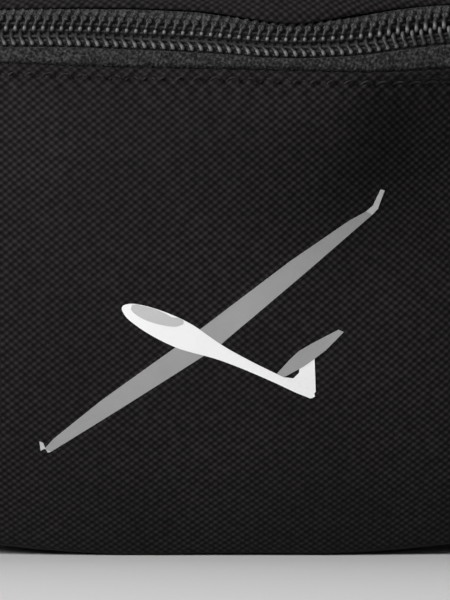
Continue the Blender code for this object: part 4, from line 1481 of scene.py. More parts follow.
@dataclass
class SailplanePrint:
    """Flat pictogram of a generic sailplane, drawn from a small model of one and pressed on the panel.

    The model is in metres: x forward, y to the left wing, z up.
    """

    centre_x: float = -2.8
    centre_z: float = 51.2
    scale: float = 7.5
    attitude: tuple = (215.0, -20.0, 30.0)  # yaw, pitch and roll
    film: float = 0.12
    layer: float = 0.035
    mesh_step: float = 1.3
    hull: tuple = (  # station along the fuselage and its radius
        (3.0, 0.0), (2.985, 0.05), (2.92, 0.11), (2.75, 0.2), (2.35, 0.3), (1.8, 0.37), (1.2, 0.4), (0.6, 0.38), (0.1, 0.31),
        (-0.5, 0.22), (-1.4, 0.155), (-2.6, 0.125), (-3.8, 0.11), (-4.0, 0.09), (-4.08, 0.0),
    )
    wing_edge: tuple = ((0.46, 0.0), (0.42, 0.9), (0.4, 1.6), (0.3, 4.2), (0.08, 6.6), (-0.05, 7.2))
    wing_rear: tuple = ((-0.3, 7.2), (-0.32, 6.6), (-0.4, 4.2), (-0.46, 1.6), (-0.47, 0.9), (-0.5, 0.0))

    def project(self, points: Sequence[Sequence[float]]) -> Array:
        """Show points of the model on the panel.

        Args:
            points: rows of x, y and z in the model.

        Returns:
            Rows of x and z in millimetres, not centred yet.
        """
        yaw, pitch, roll = np.radians(self.attitude)
        turn = np.array([[math.cos(yaw), -math.sin(yaw), 0], [math.sin(yaw), math.cos(yaw), 0], [0, 0, 1]])
        nod = np.array([[math.cos(pitch), 0, math.sin(pitch)], [0, 1, 0], [-math.sin(pitch), 0, math.cos(pitch)]])
        bank = np.array([[1, 0, 0], [0, math.cos(roll), -math.sin(roll)], [0, math.sin(roll), math.cos(roll)]])
        return (np.asarray(points, dtype=float) @ (turn @ nod @ bank).T)[:, [0, 2]] * self.scale

    def fuselage(self) -> Array:
        """Outline of the fuselage, smooth along both sides."""
        hull = Curve(self.hull)
        fine = hull.read(np.linspace(0, hull.length, 90))
        line = self.project([(x, 0.0, 0.02 * x) for x in fine[:, 0]])
        along = np.gradient(line, axis=0)
        along /= np.linalg.norm(along, axis=1)[:, None]
        over = np.stack([-along[:, 1], along[:, 0]], axis=1) * fine[:, 1:] * self.scale
        return np.concatenate([line + over, (line - over)[-2:0:-1]])

    def wing(self, side: int) -> Array:
        """Outline of one wing with its dihedral."""
        edge = self.wing_edge + self.wing_rear
        return self.project([(x, side * y, 0.12 + 0.055 * y) for x, y in edge])

    def winglet(self, side: int) -> Array:
        """Outline of one winglet."""
        root = 0.12 + 0.055 * 7.2
        rows = ((-0.05, 7.2, 0), (-0.12, 7.45, 0.1), (-0.28, 7.65, 0.62), (-0.42, 7.66, 0.64), (-0.34, 7.4, 0.1), (-0.3, 7.2, 0))
        return self.project([(x, side * y, root + z) for x, y, z in rows])

    def tail(self) -> list[Array]:
        """Outlines of the fin and of both halves of the tailplane."""
        fin = ((-2.9, 0.1), (-3.3, 0.22), (-3.52, 0.5), (-3.66, 1.25), (-4.14, 1.28), (-4.12, 0.1), (-4.0, -0.1), (-3.4, 0.0))
        half = ((-3.55, 0, 1.27), (-3.62, 0.5, 1.28), (-3.82, 1.45, 1.3), (-4.02, 1.45, 1.3), (-4.15, 0.5, 1.28), (-4.15, 0, 1.27))
        halves = [self.project([(x, side * y, z) for x, y, z in half]) for side in (-1, 1)]
        return [self.project([(x, 0.0, z) for x, z in fin]), *halves]

    def canopy(self) -> Array:
        """Outline of the canopy, which lies on the top of the hull."""
        share = np.linspace(0, 1, 24)
        x = 0.75 + 1.87 * share
        radius = Curve(self.hull[::-1]).read(np.array([Curve(self.hull[::-1]).nearest((v, 0.3)) for v in x]))[:, 1]
        half = np.minimum(0.3 * np.sqrt(1 - (2 * share - 1) ** 2) ** 0.8, radius * 0.98)
        side = np.sqrt(radius**2 - half**2) + 0.02 * x
        crown = radius + 0.1 * np.sin(share * math.pi) + 0.02 * x
        left = self.project(np.stack([x, half, side], axis=1))
        right = self.project(np.stack([x, -half, side], axis=1))
        top = self.project(np.stack([x, 0 * x, crown], axis=1))
        high = np.where((left[:, 1] > top[:, 1])[:, None], left, top)
        return np.concatenate([high, right[-2:0:-1]])

    def lay(self, work: Meshwork, outline: Array, panel: Cloth, tree: BVHTree, height: float) -> None:
        """Press one area on the panel as a film with an edge.

        Args:
            work: mesh that gets the film.
            outline: rows of x and z in millimetres.
            panel: the cloth.
            tree: the cloth's quads, for finding it under a point.
            height: how far the film stands over the cloth.
        """
        sides = np.linalg.norm(np.roll(outline, -1, axis=0) - outline, axis=1)
        rim = np.concatenate([
            outline[i] + (outline[(i + 1) % len(outline)] - outline[i]) * np.linspace(0, 1, int(sides[i] / self.mesh_step) + 2)[:-1, None]
            for i in range(len(outline))
        ])
        low, high = rim.min(axis=0), rim.max(axis=0)
        x, z = np.meshgrid(*(np.arange(low[i], high[i], self.mesh_step) for i in range(2)))
        points = [Vector(p) for p in np.concatenate([rim, np.stack([x.ravel(), z.ravel()], axis=1)]).tolist()]
        flat, _, faces, source, *_ = delaunay_2d_cdt(points, [], [list(range(len(rim)))], 1, 1e-5)
        columns = len(panel.along) - 1
        placed, uv = [], []
        for spot in flat:
            hit, normal, index, _ = tree.ray_cast(Vector((spot.x, -90.0, spot.y)), Vector((0, 1, 0)))
            out = normal if normal.y < 0 else -normal
            placed.append([*(hit + out * height), *(hit + out * (height - self.film))])
            uv.append((panel.along[index % columns], panel.across[index // columns]))
        placed = np.array(placed)
        used = sorted({v for face in faces for v in face})
        row = {v: i + work.count for i, v in enumerate(used)}
        work.faces += [[row[v] for v in face] for face in faces]
        work.points.append(placed[used, :3])
        work.uvs.append(np.array(uv)[used])
        work.count += len(used)
        order = [next(v for v, origin in enumerate(source) if i in origin) for i in range(len(rim))]
        order.append(order[0])
        work.grid(np.stack([placed[order, :3], placed[order, 3:]]), np.stack([np.array(uv)[order]] * 2))

    def build(self, palette: Palette, panel: Cloth) -> None:
        """Lay the print's areas on the panel.

        Args:
            palette: finishes of the bag.
            panel: the pocket's cloth that carries the print.
        """
        cloth = Meshwork()
        panel.add_to(cloth)
        tree = BVHTree.FromPolygons(np.concatenate(cloth.points).tolist(), cloth.faces)
        fin, *halves = self.tail()
        areas = {
            "print_wings": (Palette.grey, [self.wing(1), self.wing(-1)], 0),
            "print_tips": (Palette.pale, [self.winglet(1), self.winglet(-1)], 1),
            "print_fin": (Palette.white, [fin], 1),
            "print_tailplane": (Palette.grey, halves, 2),
            "print_fuselage": (Palette.white, [self.fuselage()], 3),
            "print_canopy": (Palette.pale, [self.canopy()], 4),
        }
        everything = np.concatenate([outline for _, outlines, _ in areas.values() for outline in outlines])
        shift = (self.centre_x, self.centre_z) - (everything.min(axis=0) + everything.max(axis=0)) / 2
        for name, (finish, outlines, level) in areas.items():
            work = Meshwork()
            for outline in outlines:
                self.lay(work, outline + shift, panel, tree, self.film + level * self.layer)
            settle(work.make(name, palette[finish]), "bag", Slot.SHELL)


# Padding, wings and belt


def rounded_rect(half: float, low: float, high: float, low_corner: float, high_corner: float) -> Array:
    """Outline of a rectangle with round corners, always in the same number of points.

    Args:
        half: half its width.
        low: height of its foot.
        high: height of its top.
        low_corner: radius of the lower corners.
        high_corner: radius of the upper corners.

    Returns:
        Array of (x, z) points.
    """
    foot, head = max(low_corner, 0.02), max(high_corner, 0.02)
    corners = (
        (half - foot, low + foot, foot, -90), (half - head, high - head, head, 0),
        (-half + head, high - head, head, 90), (-half + foot, low + foot, foot, 180),
    )
    arcs = []
    for cx, cz, radius, start in corners:
        angle = np.radians(start + np.linspace(0, 90, 16))
        arcs.append(np.stack([cx + radius * np.cos(angle), cz + radius * np.sin(angle)], axis=1))
    points = []
    for i, steps in enumerate((34, 84, 34, 84)):
        share = np.linspace(0, 1, steps + 2)[1:-1, None]
        points += [arcs[i], arcs[i][-1] + (arcs[(i + 1) % 4][0] - arcs[i][-1]) * share]
    return np.concatenate(points)


@dataclass
class BackPad:
    """Padded back: spacer mesh over foam, quilted into lobes beside an air channel."""

    channel_half: float = 8.0
    seam_x: float = 58.0
    puff: float = 0.9
    stitch_depth: float = 2.2
    binding: float = 1.7

    def corner(self, z: Array) -> Array:
        """Radius of the outline's corner nearest to a height."""
        return np.where(z < (PAD_LOW_Z + PAD_HIGH_Z) / 2, PAD_LOW_CORNER, PAD_HIGH_CORNER)

    def over(self, z: Array) -> Array:
        """How far a height reaches into a corner of the outline; negative beside its straight sides."""
        return np.abs(z - (PAD_LOW_Z + PAD_HIGH_Z) / 2) - (PAD_HIGH_Z - PAD_LOW_Z) / 2 + self.corner(z)

    def half(self, z: Array) -> Array:
        """Half the outline's width at a height."""
        corner = self.corner(z)
        return PAD_HALF_WIDTH - corner + np.sqrt(np.maximum(corner**2 - np.maximum(self.over(z), 0) ** 2, 0))

    def inset(self, x: Array, z: Array) -> Array:
        """Distance inside the outline."""
        corner, over = self.corner(z), self.over(z)
        beside = np.abs(x) - PAD_HALF_WIDTH + corner
        outside = np.hypot(np.maximum(beside, 0), np.maximum(over, 0))
        return corner - outside - np.minimum(np.maximum(beside, over), 0)

    def face(self, share: Array, z: Array) -> Array:
        """Points of the unfilled face at shares of its half width and at heights."""
        x = self.half(z)[:, None] * share[None, :]
        z = np.broadcast_to(z[:, None], x.shape)
        rise = np.sqrt(1 - (1 - np.clip(self.inset(x, z) / 3.6, 0, 1)) ** 2)
        return np.stack([x, BACK_Y + 0.4 + (PAD_THICK - 0.4) * rise, z], axis=-1)

    def seams(self, x: Array, z: Array) -> Array:
        """Distance to the nearest quilting seam."""
        bow = 12.0 * ((z - 65.0) / 57.0) ** 2
        return np.minimum(np.abs(np.abs(x) - self.channel_half), np.abs(np.abs(x) - self.seam_x + bow))

    def filled(self, share: Array, z: Array) -> Array:
        """Points of the face with the foam under it, from a simulated cover that its seams hold."""
        coarse = np.linspace(-1, 1, 53), np.linspace(z[0], z[-1], 30)
        front = self.face(*coarse)
        back = front[:, ::-1] * (1, 0, 1) + (0, BACK_Y, 0)
        held = (self.seams(front[..., 0], front[..., 2]) < 2.2) | (self.inset(front[..., 0], front[..., 2]) < 3.2)
        held |= np.abs(front[..., 0]) < self.channel_half
        cover = Meshwork()
        cover.grid(np.concatenate([front, back], axis=1).transpose(1, 0, 2), closed=True, capped=True)
        moved = Billow(pressure=18.0, slack=0.002).run(cover, np.concatenate([held, held | True], axis=1).T.ravel())
        moved = moved.reshape(106, 30, 3).transpose(1, 0, 2)[:, :53]
        return self.face(share, z) + refine(moved, (coarse[1], coarse[0]), (z, share))

    def build(self, palette: Palette) -> None:
        """Make the pad, its binding and its quilting thread.

        Args:
            palette: finishes of the bag.
        """
        tall = PAD_HIGH_Z - PAD_LOW_Z - 0.1
        z = PAD_LOW_Z + 0.05 + graded(tall, [0.0, tall], 0.4, 1.2, 8.0)
        share = graded(2.0, [0.0, 2.0], 0.004, 0.0115, 0.08) - 1
        points = self.filled(share, z)
        flat = self.face(share, z)
        x, height = flat[..., 0], flat[..., 2]
        near = self.seams(x, height)
        lobe = self.puff * (1 - np.exp(-near / 4.5)) - self.stitch_depth * bell(near, 1.5)
        lobe = lobe + 0.3 * swell(x / 14, height / 17, 0 * x, 21.0) * ease(near / 5)
        channel = np.minimum(lobe, -1.6 + 0.5 * np.cos(math.tau * height / 7.0))
        lobe = np.where(np.abs(x) < self.channel_half, channel, lobe)
        points[..., 1] += lobe * ease((self.inset(x, height) - 1.0) / 5.0)
        cloth = Cloth(points, share, z, -1.0)
        work = Meshwork()
        work.grid(points, flat[..., [0, 2]])
        made = work.make("back_pad", palette[Palette.mesh])
        settle(made, "bag", Slot.PADDING, "back_panel")
        outline = rounded_rect(PAD_HALF_WIDTH - 0.6, PAD_LOW_Z + 0.6, PAD_HIGH_Z - 0.6, PAD_LOW_CORNER, PAD_HIGH_CORNER)
        path = np.stack([outline[:, 0], np.full(len(outline), BACK_Y + 2.7), outline[:, 1]], axis=1)
        work = Meshwork()
        work.tube(path, self.binding, np.array([0.0, 1.0, 0.0]), 12, closed=True)
        settle(work.make("back_pad_binding", palette[Palette.binding]), "bag", Slot.WEBBING)
        work = Meshwork()
        z = np.arange(PAD_LOW_Z + 5, PAD_HIGH_Z - 4, 1.5)
        for line in (self.channel_half + 0 * z, self.seam_x - 12.0 * ((z - 65.0) / 57.0) ** 2):
            for sign in (-1, 1):
                spots, normals = cloth.spots(sign * line / self.half(z), z)
                stitch(work, spots, normals, 3.6, 0.25)
        settle(work.make("back_pad_quilting", palette[Palette.thread]), "bag", Slot.PADDING)


def wing_plan(t: Array) -> tuple[Array, Array]:
    """Middle line of the right wing in plan, and its outward normal, at t from 0 to 1."""
    angle = np.asarray(t) * math.pi / 2
    wide = LOOP_RADIUS - WING_ROOT_X
    deep = LOOP_CENTRE_Y - BACK_Y - (0.3 + PAD_THICK) / 2
    place = np.stack([WING_ROOT_X + wide * np.sin(angle), LOOP_CENTRE_Y - deep * np.cos(angle)], axis=-1)
    along = np.stack([wide * np.cos(angle), deep * np.sin(angle)], axis=-1)
    along /= np.linalg.norm(along, axis=-1, keepdims=True)
    return place, np.stack([along[..., 1], -along[..., 0]], axis=-1)


@dataclass
class Wing:
    """Padded wing that tapers from the bag's side to the belt, bound along both edges."""

    sign: int
    name: str
    root: tuple = (30.0, 114.0)
    tip: tuple = (37.0, 77.0)
    root_half: float = 2.45
    tip_half: float = 2.0
    covered_from: float = 0.42

    def edges(self, t: Array) -> tuple[Array, Array]:
        """Heights of the lower and upper edge at t."""
        taper = ease(t * 1.05)
        return tuple(self.root[i] + (self.tip[i] - self.root[i]) * taper for i in range(2))

    def cover(self, t: Array, b: Array, outer: Array, extra: Number = 0.0) -> Array:
        """Points of the wing's cover.

        Args:
            t: from 0 at its root to 1 at its tip.
            b: column from 0 at its lower edge to 1 at its upper.
            outer: column of 1 for its outer face and -1 for its inner.
            extra: thickness to add.

        Returns:
            The points, in rows of b and columns of t.
        """
        place, normal = wing_plan(t)
        low, high = self.edges(t)
        half = self.root_half + (self.tip_half - self.root_half) * t
        body = half * np.maximum(1 - np.abs(2 * b - 1) ** 7, 0.0) ** 0.5
        flat = place[None] + normal[None] * (outer * (body + extra))[..., None]
        return np.concatenate([flat, (low + (high - low) * b)[..., None]], axis=-1) * (self.sign, 1, 1)

    def covered(self, t: Array, z: Array, outer: Array) -> Array:
        """1 where the webbing lies on the outer face."""
        return (outer > 0) * ease((t - self.covered_from + 0.05) / 0.05) * ease((WEB_HEIGHT / 2 + 5 - np.abs(z - WEB_WING_Z)) / 4)

    def seam(self, t: Array, b: Array) -> Array:
        """Distance to the nearer of the two quilting seams."""
        low, high = self.edges(t)
        return np.minimum(np.abs(b - 0.36), np.abs(b - 0.68)) * (high - low)

    def filled(self, t: Array, share: Array) -> Array:
        """How far the foam moves each point of the cover, from a simulation that its sewing holds."""
        coarse, level = np.linspace(0, 1, 34), np.linspace(0, 1, 17)
        b = 0.02 + 0.96 * np.concatenate([level, level[::-1]])[:, None]  # apart at the edges, where its faces meet
        outer = np.repeat([-1.0, 1.0], 17)[:, None]
        points = self.cover(coarse, b, outer)
        sewn = (np.abs(b - 0.5) > 0.43) | (self.seam(coarse, b) < 2.2) | (coarse > 0.9) | (coarse < 0.03)
        sewn |= (self.covered(coarse, points[..., 2], outer) > 0.1) | ((outer > 0) & (np.abs(points[..., 0]) < 126))
        cover = Meshwork()
        cover.grid(points, closed=True, capped=True)
        moved = Billow(cap=2.6).run(cover, sewn.ravel()).reshape(34, 34, 3)
        inner = refine(moved[:17], (level, coarse), (share, t))
        return np.concatenate([inner, refine(moved[17:][::-1], (level, coarse), (share, t))[::-1]])

    def build(self, palette: Palette) -> None:
        """Make the wing, its bindings and its quilting.

        Args:
            palette: finishes of the bag.
        """
        t = np.linspace(0.0, 1.0, 100)
        place, _ = wing_plan(t)
        low, high = self.edges(t)
        share = np.linspace(0.0, 1.0, 56)
        b = np.concatenate([share, share[::-1]])[:, None]
        outer = np.repeat([-1.0, 1.0], 56)[:, None]
        z = low + (high - low) * b
        seam = self.seam(t, b)
        free = (1 - self.covered(t, z, outer)) * ease((t + 0.02) / 0.1) * ease((1 - t) / 0.1)
        press = (0.5 * (1 - np.exp(-seam / 4.0)) - 1.2 * bell(seam, 1.3)) * ease(np.minimum(b, 1 - b) * (high - low) / 7.0)
        wrinkle = 0.25 * swell(t[None, :] * 16, z / 13, 0 * z, 31.0 + self.sign) * ease(np.minimum(b, 1 - b) * 12)
        points = self.cover(t, b, outer, (press + wrinkle) * free) + self.filled(t, share)
        run = np.concatenate([[0.0], np.cumsum(np.linalg.norm(np.diff(place, axis=0), axis=1))])
        work = Meshwork()
        work.grid(points, np.stack(np.broadcast_arrays(run[None, :], z), axis=-1), closed=True, capped=True)
        made = work.make(self.name, palette[Palette.shell])
        settle(made, "bag", Slot.SHELL, self.name.replace("_pad", ""))
        work = Meshwork()
        for z_edge in (low + 0.4, high - 0.4):
            path = np.concatenate([place * (self.sign, 1), z_edge[:, None]], axis=1)
            work.tube(path, 1.75, np.array([0.0, 0.0, 1.0]), 12)
        settle(work.make(f"{self.name}_binding", palette[Palette.binding]), "bag", Slot.WEBBING)
        work = Meshwork()
        for rows, level, side in ((points[:56], share, self.sign), (points[56:][::-1], share, -self.sign)):
            cloth = Cloth(rows, t, level, float(side))
            for height in (0.36, 0.68):
                end = 0.96 if rows is points or side == self.sign else 0.38
                where = np.linspace(0.04, end, 160)
                spots, normals = cloth.spots(where, np.full(160, height))
                stitch(work, spots, normals, 3.4, 0.22)
        settle(work.make(f"{self.name}_quilting", palette[Palette.thread]), "bag", Slot.SHELL)


@dataclass
class Belt:
    """One half of the belt: 38 mm webbing from its wing, round the buckle's bar and back on itself."""

    sign: int
    name: str
    return_angle: float
    wing_start: float = 0.42
    level_angle: float = math.radians(50)

    def height(self, angle: Array) -> Array:
        """Height of the belt's middle line along the rear arc."""
        return WEB_WING_Z + (WEB_BACK_Z - WEB_WING_Z) * ease(angle / self.level_angle)

    def arc(self, radius: float, angle: Array) -> Array:
        """Points of the rear arc, with their height."""
        return np.stack([radius * np.cos(angle), LOOP_CENTRE_Y + radius * np.sin(angle), self.height(angle)], axis=1)

    def level(self, x: Array, line_y: float, radius: float) -> Array:
        """Points of a layer that leaves its arc for the level of the buckle's bar."""
        straight = BAR_X + 4.0
        arc_y = LOOP_CENTRE_Y + np.sqrt(radius * radius - x * x)
        y = line_y + (arc_y - line_y) * ease((x - straight) / (MERGE_X - straight))
        return np.stack([x, y, np.full(len(x), WEB_BACK_Z)], axis=1)

    def path(self) -> Array:
        """Middle line of the webbing, from its wing to its other end."""
        t = np.linspace(self.wing_start, 1.0, 30)[:-1]
        place, normal = wing_plan(t)
        out = 2.45 + (2.0 - 2.45) * t + 0.3 + WEB_THICK / 2
        first = np.concatenate([place + normal * out[:, None], np.full((len(t), 1), WEB_WING_Z)], axis=1)
        leave = math.acos(MERGE_X / WEB_RADIUS)
        turn = np.linspace(0, math.pi, 17)
        bar = np.stack([
            BAR_X - HAIRPIN_RADIUS * np.sin(turn), BUCKLE_Y - HAIRPIN_RADIUS * np.cos(turn), np.full(17, WEB_BACK_Z)
        ], axis=1)
        outer = WEB_RADIUS + LAYER_PITCH
        start = math.acos(MERGE_X / outer)
        steps = max(6, round((start - self.return_angle) * 60))
        return np.concatenate([
            first,
            self.arc(WEB_RADIUS, np.linspace(0, leave, 80)[:-1]),
            self.level(np.linspace(MERGE_X, BAR_X, 12)[:-1], BUCKLE_Y - HAIRPIN_RADIUS, WEB_RADIUS),
            bar,
            self.level(np.linspace(BAR_X, MERGE_X, 12)[1:], BUCKLE_Y + HAIRPIN_RADIUS, outer),
            self.arc(outer, np.linspace(start, self.return_angle, steps)[1:]),
        ])

    def build(self, palette: Palette) -> None:
        """Make the webbing and its sewing.

        Args:
            palette: finishes of the bag.
        """
        path = self.path() * (self.sign, 1, 1)
        along = np.gradient(path, axis=0) * (1, 1, 0)
        along /= np.linalg.norm(along, axis=1, keepdims=True)
        side = np.stack([along[:, 1], -along[:, 0], 0 * along[:, 0]], axis=1) * self.sign
        run = np.concatenate([[0.0], np.cumsum(np.linalg.norm(np.diff(path, axis=0), axis=1))])
        half = WEB_THICK / 2
        up = np.concatenate([[-19.0, -18.75, -18.2], np.linspace(-16, 16, 9), [18.2, 18.75, 19.0]])
        out = half * np.array([0.35, 0.8, 1.0] + [1.0] * 9 + [1.0, 0.8, 0.35])
        up, out = np.concatenate([up, up[::-1]]), np.concatenate([-out, out[::-1]])
        points = path[None] + side[None] * out[:, None, None] + np.array([0, 0, 1.0]) * up[:, None, None]
        work = Meshwork()
        work.grid(points, np.stack(np.broadcast_arrays(run[None, :], up[:, None] + 40 * (out[:, None] > 0)), axis=-1), True, True)
        settle(work.make(self.name, palette[Palette.webbing]), "bag", Slot.WEBBING, self.name)
        end = run[-1]
        box = ((4, -14), (30, -14), (30, 14), (4, 14), (4, -14), (30, 14)), ((4, 14), (30, -14))
        lines = [(line, 1) for line in box] + [(((run[29] - 3, -16), (run[29] - 3, 16)), 1)]
        if self.sign < 0:
            lines += [([(end - a, b) for a, b in line], -1) for line in box]
        else:
            lines += [(((end - a, -16), (end - a, 16)), -1) for a in (2.5, 9.5, 10.8)]
        work = Meshwork()
        for line, face in lines:
            for (a, low), (b, high) in zip(line, line[1:]):
                count = max(8, int(math.hypot(b - a, high - low)))
                where = np.linspace(a, b, count)
                spot = np.stack([np.interp(where, run, path[:, k]) for k in range(3)], axis=1)
                out = np.stack([np.interp(where, run, side[:, k]) for k in range(3)], axis=1) * face
                stitch(work, spot + out * half + np.linspace(low, high, count)[:, None] * (0, 0, 1), out, 2.8, 0.22)
        settle(work.make(f"{self.name}_sewing", palette[Palette.thread]), "bag", Slot.WEBBING)


@dataclass
class Keeper:
    """Elastic loop that holds the belt's tail, ribbed along the belt."""

    width: float = 14.0
    wall: float = 1.2
    play: float = 0.4

    def build(self, palette: Palette) -> None:
        """Make the loop.

        Args:
            palette: finishes of the bag.
        """
        inner = WEB_RADIUS - WEB_THICK / 2 - self.play
        outer = WEB_RADIUS + LAYER_PITCH + WEB_THICK / 2 + self.play
        low, high = WEB_BACK_Z - WEB_HEIGHT / 2 - self.play, WEB_BACK_Z + WEB_HEIGHT / 2 + self.play
        wall = self.wall
        near = [(inner, z) for z in np.linspace(low, high, 14)] + [(inner + 0.6, high + 0.1), (outer - 0.6, high + 0.1)]
        near += [(outer, z) for z in np.linspace(high, low, 14)] + [(outer - 0.6, low - 0.1), (inner + 0.6, low - 0.1)]
        far = [(inner - wall, z) for z in np.linspace(low, high, 14)] + [(inner, high + wall), (outer, high + wall)]
        far += [(outer + wall, z) for z in np.linspace(high, low, 14)] + [(outer, low - wall), (inner, low - wall)]
        near, far = np.array(near), np.array(far)
        half = self.width / 2 / WEB_RADIUS
        turn = KEEPER_ANGLE + np.linspace(-half, half, 29)
        rib = 0.12 * np.cos(np.linspace(-half, half, 29) * WEB_RADIUS * math.tau / 1.6)
        columns = []
        for edge, swing in ((far, turn), (near, turn[::-1])):
            puffed = rib if edge is far else 0 * rib
            lean = (far - near) / np.linalg.norm(far - near, axis=1, keepdims=True)
            spot = edge[:, None] + lean[:, None] * puffed[None, :, None]
            columns.append(np.stack([
                spot[..., 0] * np.cos(swing), LOOP_CENTRE_Y + spot[..., 0] * np.sin(swing), spot[..., 1]
            ], axis=-1))
        points = np.concatenate(columns + [columns[0][:, :1]], axis=1)
        points = np.concatenate([points, points[:1]], axis=0)
        u = np.linspace(0, 2 * self.width, points.shape[1])
        v = np.linspace(0, 90, points.shape[0])
        work = Meshwork()
        work.grid(points, np.stack(np.broadcast_arrays(u[None, :], v[:, None]), axis=-1))
        settle(work.make("tail_keeper", palette[Palette.elastic]), "keeper", Slot.ELASTIC, "strap_keeper")


@dataclass
class BuckleTrim:
    """Moulded detail on the buckle's outer face: a raised panel on the socket, and grip bars on the plug."""

    panel: tuple = ((-20.5, 4.5), (9.0, 41.0), 6.0, 1.0)  # x, z, corner and height
    bars: tuple = (13.2, 16.8, 20.4)

    def raised(self, work: Meshwork, x_ends: tuple, z_ends: tuple, corner: float, height: float, y: float) -> None:
        """Add a raised area with round corners and a soft shoulder.

        Args:
            work: mesh that gets it.
            x_ends: where it starts and ends in x.
            z_ends: where it starts and ends in z.
            corner: radius of its corners.
            height: how far it stands out.
            y: depth of the face that it stands on.
        """
        x = np.linspace(*x_ends, max(9, int((x_ends[1] - x_ends[0]) * 3)))[None, :]
        z = np.linspace(*z_ends, max(9, int((z_ends[1] - z_ends[0]) * 3)))[:, None]
        beside = np.abs(x - sum(x_ends) / 2) - (x_ends[1] - x_ends[0]) / 2 + corner
        over = np.abs(z - sum(z_ends) / 2) - (z_ends[1] - z_ends[0]) / 2 + corner
        inset = corner - np.hypot(np.maximum(beside, 0), np.maximum(over, 0)) - np.minimum(np.maximum(beside, over), 0)
        out = (height + 0.3) * ease(inset / min(1.2, corner)) - 0.3
        x, z, out = np.broadcast_arrays(x, z, out)
        work.grid(np.stack([x, y + out, z], axis=-1)[::-1])

    def build(self, palette: Palette) -> None:
        """Make both halves' details.

        Args:
            palette: finishes of the bag.
        """
        work = Meshwork()
        x_ends, z_ends, corner, height = self.panel
        self.raised(work, x_ends, z_ends, corner, height, 280.4)
        self.raised(work, (x_ends[0] + 4, x_ends[1] - 4), (z_ends[0] + 4, z_ends[1] - 4), corner - 2, 1.5, 280.4)
        settle(work.make("socket_panel", palette[Palette.acetal]), "bag", Slot.PLASTIC)
        work = Meshwork()
        for x in self.bars:
            self.raised(work, (x - 0.85, x + 0.85), (9.0, 41.0), 0.84, 0.8, 280.0)
        settle(work.make("plug_grip_bars", palette[Palette.acetal]), "bag", Slot.PLASTIC)


def redress(frame: dict, node: str, material: bpy.types.Material, bevel: float = 0.0) -> None:
    """Give a CAD node that stays its real finish and eased edges.

    Args:
        node: name of the node.
        material: its finish.
        bevel: radius of its edges in millimetres.
    """
    item = frame["nodes"][node]
    item.data.materials.clear()
    item.data.materials.append(material)
    if bevel:
        eased = item.modifiers.new("eased_edges", "BEVEL")
        eased.width = bevel * MM
        eased.segments = 3
        eased.limit_method = "ANGLE"
        eased.angle_limit = math.radians(30)
        eased.harden_normals = True


# Studio


@dataclass
class Studio:
    """Pale paper floor, soft lights and the camera of the photograph."""

    lens: float = 200.0
    camera_y: float = -0.7442
    camera_z: float = 0.05573

    def light(self, name: str, place: Sequence[float], aim: Sequence[float], size: float, watts: float) -> None:
        """Hang a square soft box.

        Args:
            name: the light's name.
            place: where it hangs, in metres.
            aim: point that it faces.
            size: side of the box, in metres.
            watts: its power.
        """
        lamp = bpy.data.lights.new(name, "AREA")
        lamp.size = size
        lamp.energy = watts
        made = bpy.data.objects.new(name, lamp)
        made.location = place
        made.rotation_euler = (Vector(aim) - Vector(place)).to_track_quat("-Z", "Y").to_euler()
        bpy.context.scene.collection.objects.link(made)

    def build(self, palette: Palette) -> None:
        """Make the floor, the lights, the world and the camera.

        Args:
            palette: finishes, the paper among them.
        """
        work = Meshwork()
        edge = 30000.0
        corners = np.array([[(-edge, -edge, 0), (edge, -edge, 0)], [(-edge, edge, 0), (edge, edge, 0)]])
        work.grid(corners)
        floor = work.make("paper_floor", palette[Palette.paper])
        self.light("key_softbox", (-1.1, -0.98, 0.68), (0, 0, 0.06), 0.7, 32.2)
        self.light("fill_softbox", (-0.15, -1.3, 0.12), (0, 0, 0.05), 0.5, 1.8)
        self.light("top_softbox", (0.0, 0.25, 1.3), (0, 0.1, 0), 1.0, 4.0)
        self.light("rear_softbox", (0.45, 1.5, 0.5), (0, 0.1, 0.05), 0.8, 16.0)
        world = bpy.data.worlds.new("studio")
        bpy.context.scene.world = world
        world.use_nodes = True
        backdrop = world.node_tree.nodes["Background"]
        backdrop.inputs["Color"].default_value = linear("#E4E4E4")
        backdrop.inputs["Strength"].default_value = 0.12
        bpy.context.scene.view_settings.view_transform = "Standard"
        lens = bpy.data.cameras.new("camera")
        lens.lens = self.lens
        lens.clip_end = 100.0
        camera = bpy.data.objects.new("camera", lens)
        camera.location = (0, self.camera_y, self.camera_z)
        camera.rotation_euler = (math.pi / 2, 0, 0)
        bpy.context.scene.collection.objects.link(camera)
        bpy.context.scene.camera = camera


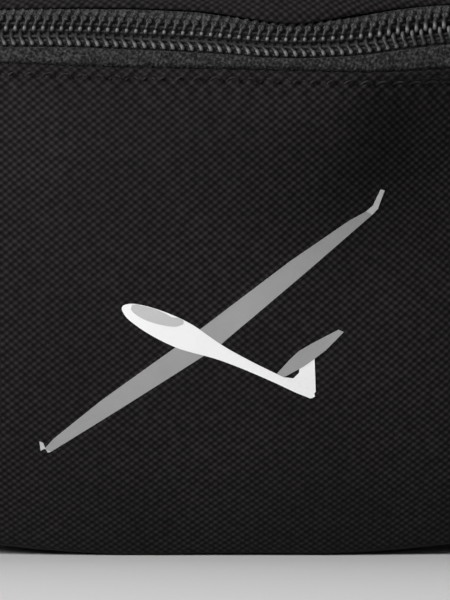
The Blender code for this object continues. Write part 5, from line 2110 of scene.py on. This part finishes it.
def main() -> None:
    """Build every piece and report it."""
    logging.basicConfig(level=logging.INFO, format="%(name)s %(message)s")
    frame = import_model()
    palette = Palette()
    Studio().build(palette)
    form = BagForm()
    pocket = FrontPocket(form)
    pocket.build(palette)
    body = MainCompartment(form)
    body.build(palette)
    BodySeams(pocket, body).build(palette)
    centre = (
        (-120, 0), (-75, 0), (-48, 1.1), (-35, 1.0), (-16, 0.2), (0, -0.7), (5, -1.2), (14, -1.6), (22.6, -1.3), (32, -0.4),
        (38, 0.6), (42, 1.1), (48, 1.8), (58, 1.2), (75, 0), (120, 0),
    )
    tuck = ((-120, 0.3), (-78, 0.3), (-52, 0.7), (-36, 1), (28, 1), (40, 0.2), (60, 0.2), (120, 0.4))
    waves = (form.low_wave, form.high_wave)
    CoilZip("pocket", PocketLine(), "tape_lower", "tape_upper", (-7.65, 5.98), waves, centre, tuck).build(palette)
    CoilZip("main", TopLine(), "tape_front", "tape_back", (-6.9, 6.9)).build(palette)
    SailplanePrint().build(palette, pocket.cloth)
    shells = Meshwork()
    pocket.cloth.add_to(shells)
    body.cloth.add_to(shells)
    tree = BVHTree.FromPolygons(np.concatenate(shells.points).tolist(), shells.faces)
    for zip_name, line in (("pocket", PocketLine()), ("main", TopLine())):
        for sign, side in ((-1, "left"), (1, "right")):
            ZipTab(f"{zip_name}_tab_{side}", line, sign).build(palette, tree)
    BackPad().build(palette)
    for sign, side in ((-1, "left"), (1, "right")):
        Wing(sign, f"wing_{side}_pad").build(palette)
        Belt(sign, f"webbing_{side}", math.radians(60 if sign < 0 else 38)).build(palette)
    Keeper().build(palette)
    BuckleTrim().build(palette)
    for node in ("buckle_socket", "buckle_plug"):
        redress(frame, node, palette[Palette.acetal], 0.5)
    for zip_name in ("pocket", "main"):
        redress(frame, f"{zip_name}_slider", palette[Palette.zinc], 0.3)
        redress(frame, f"{zip_name}_pull", palette[getattr(Palette, f"{zip_name}_pull")], 0.35)
        for side in ("left", "right"):
            redress(frame, f"{zip_name}_stop_{side}", palette[Palette.zinc], 0.4)
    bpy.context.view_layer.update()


if __name__ == "__main__":
    main()
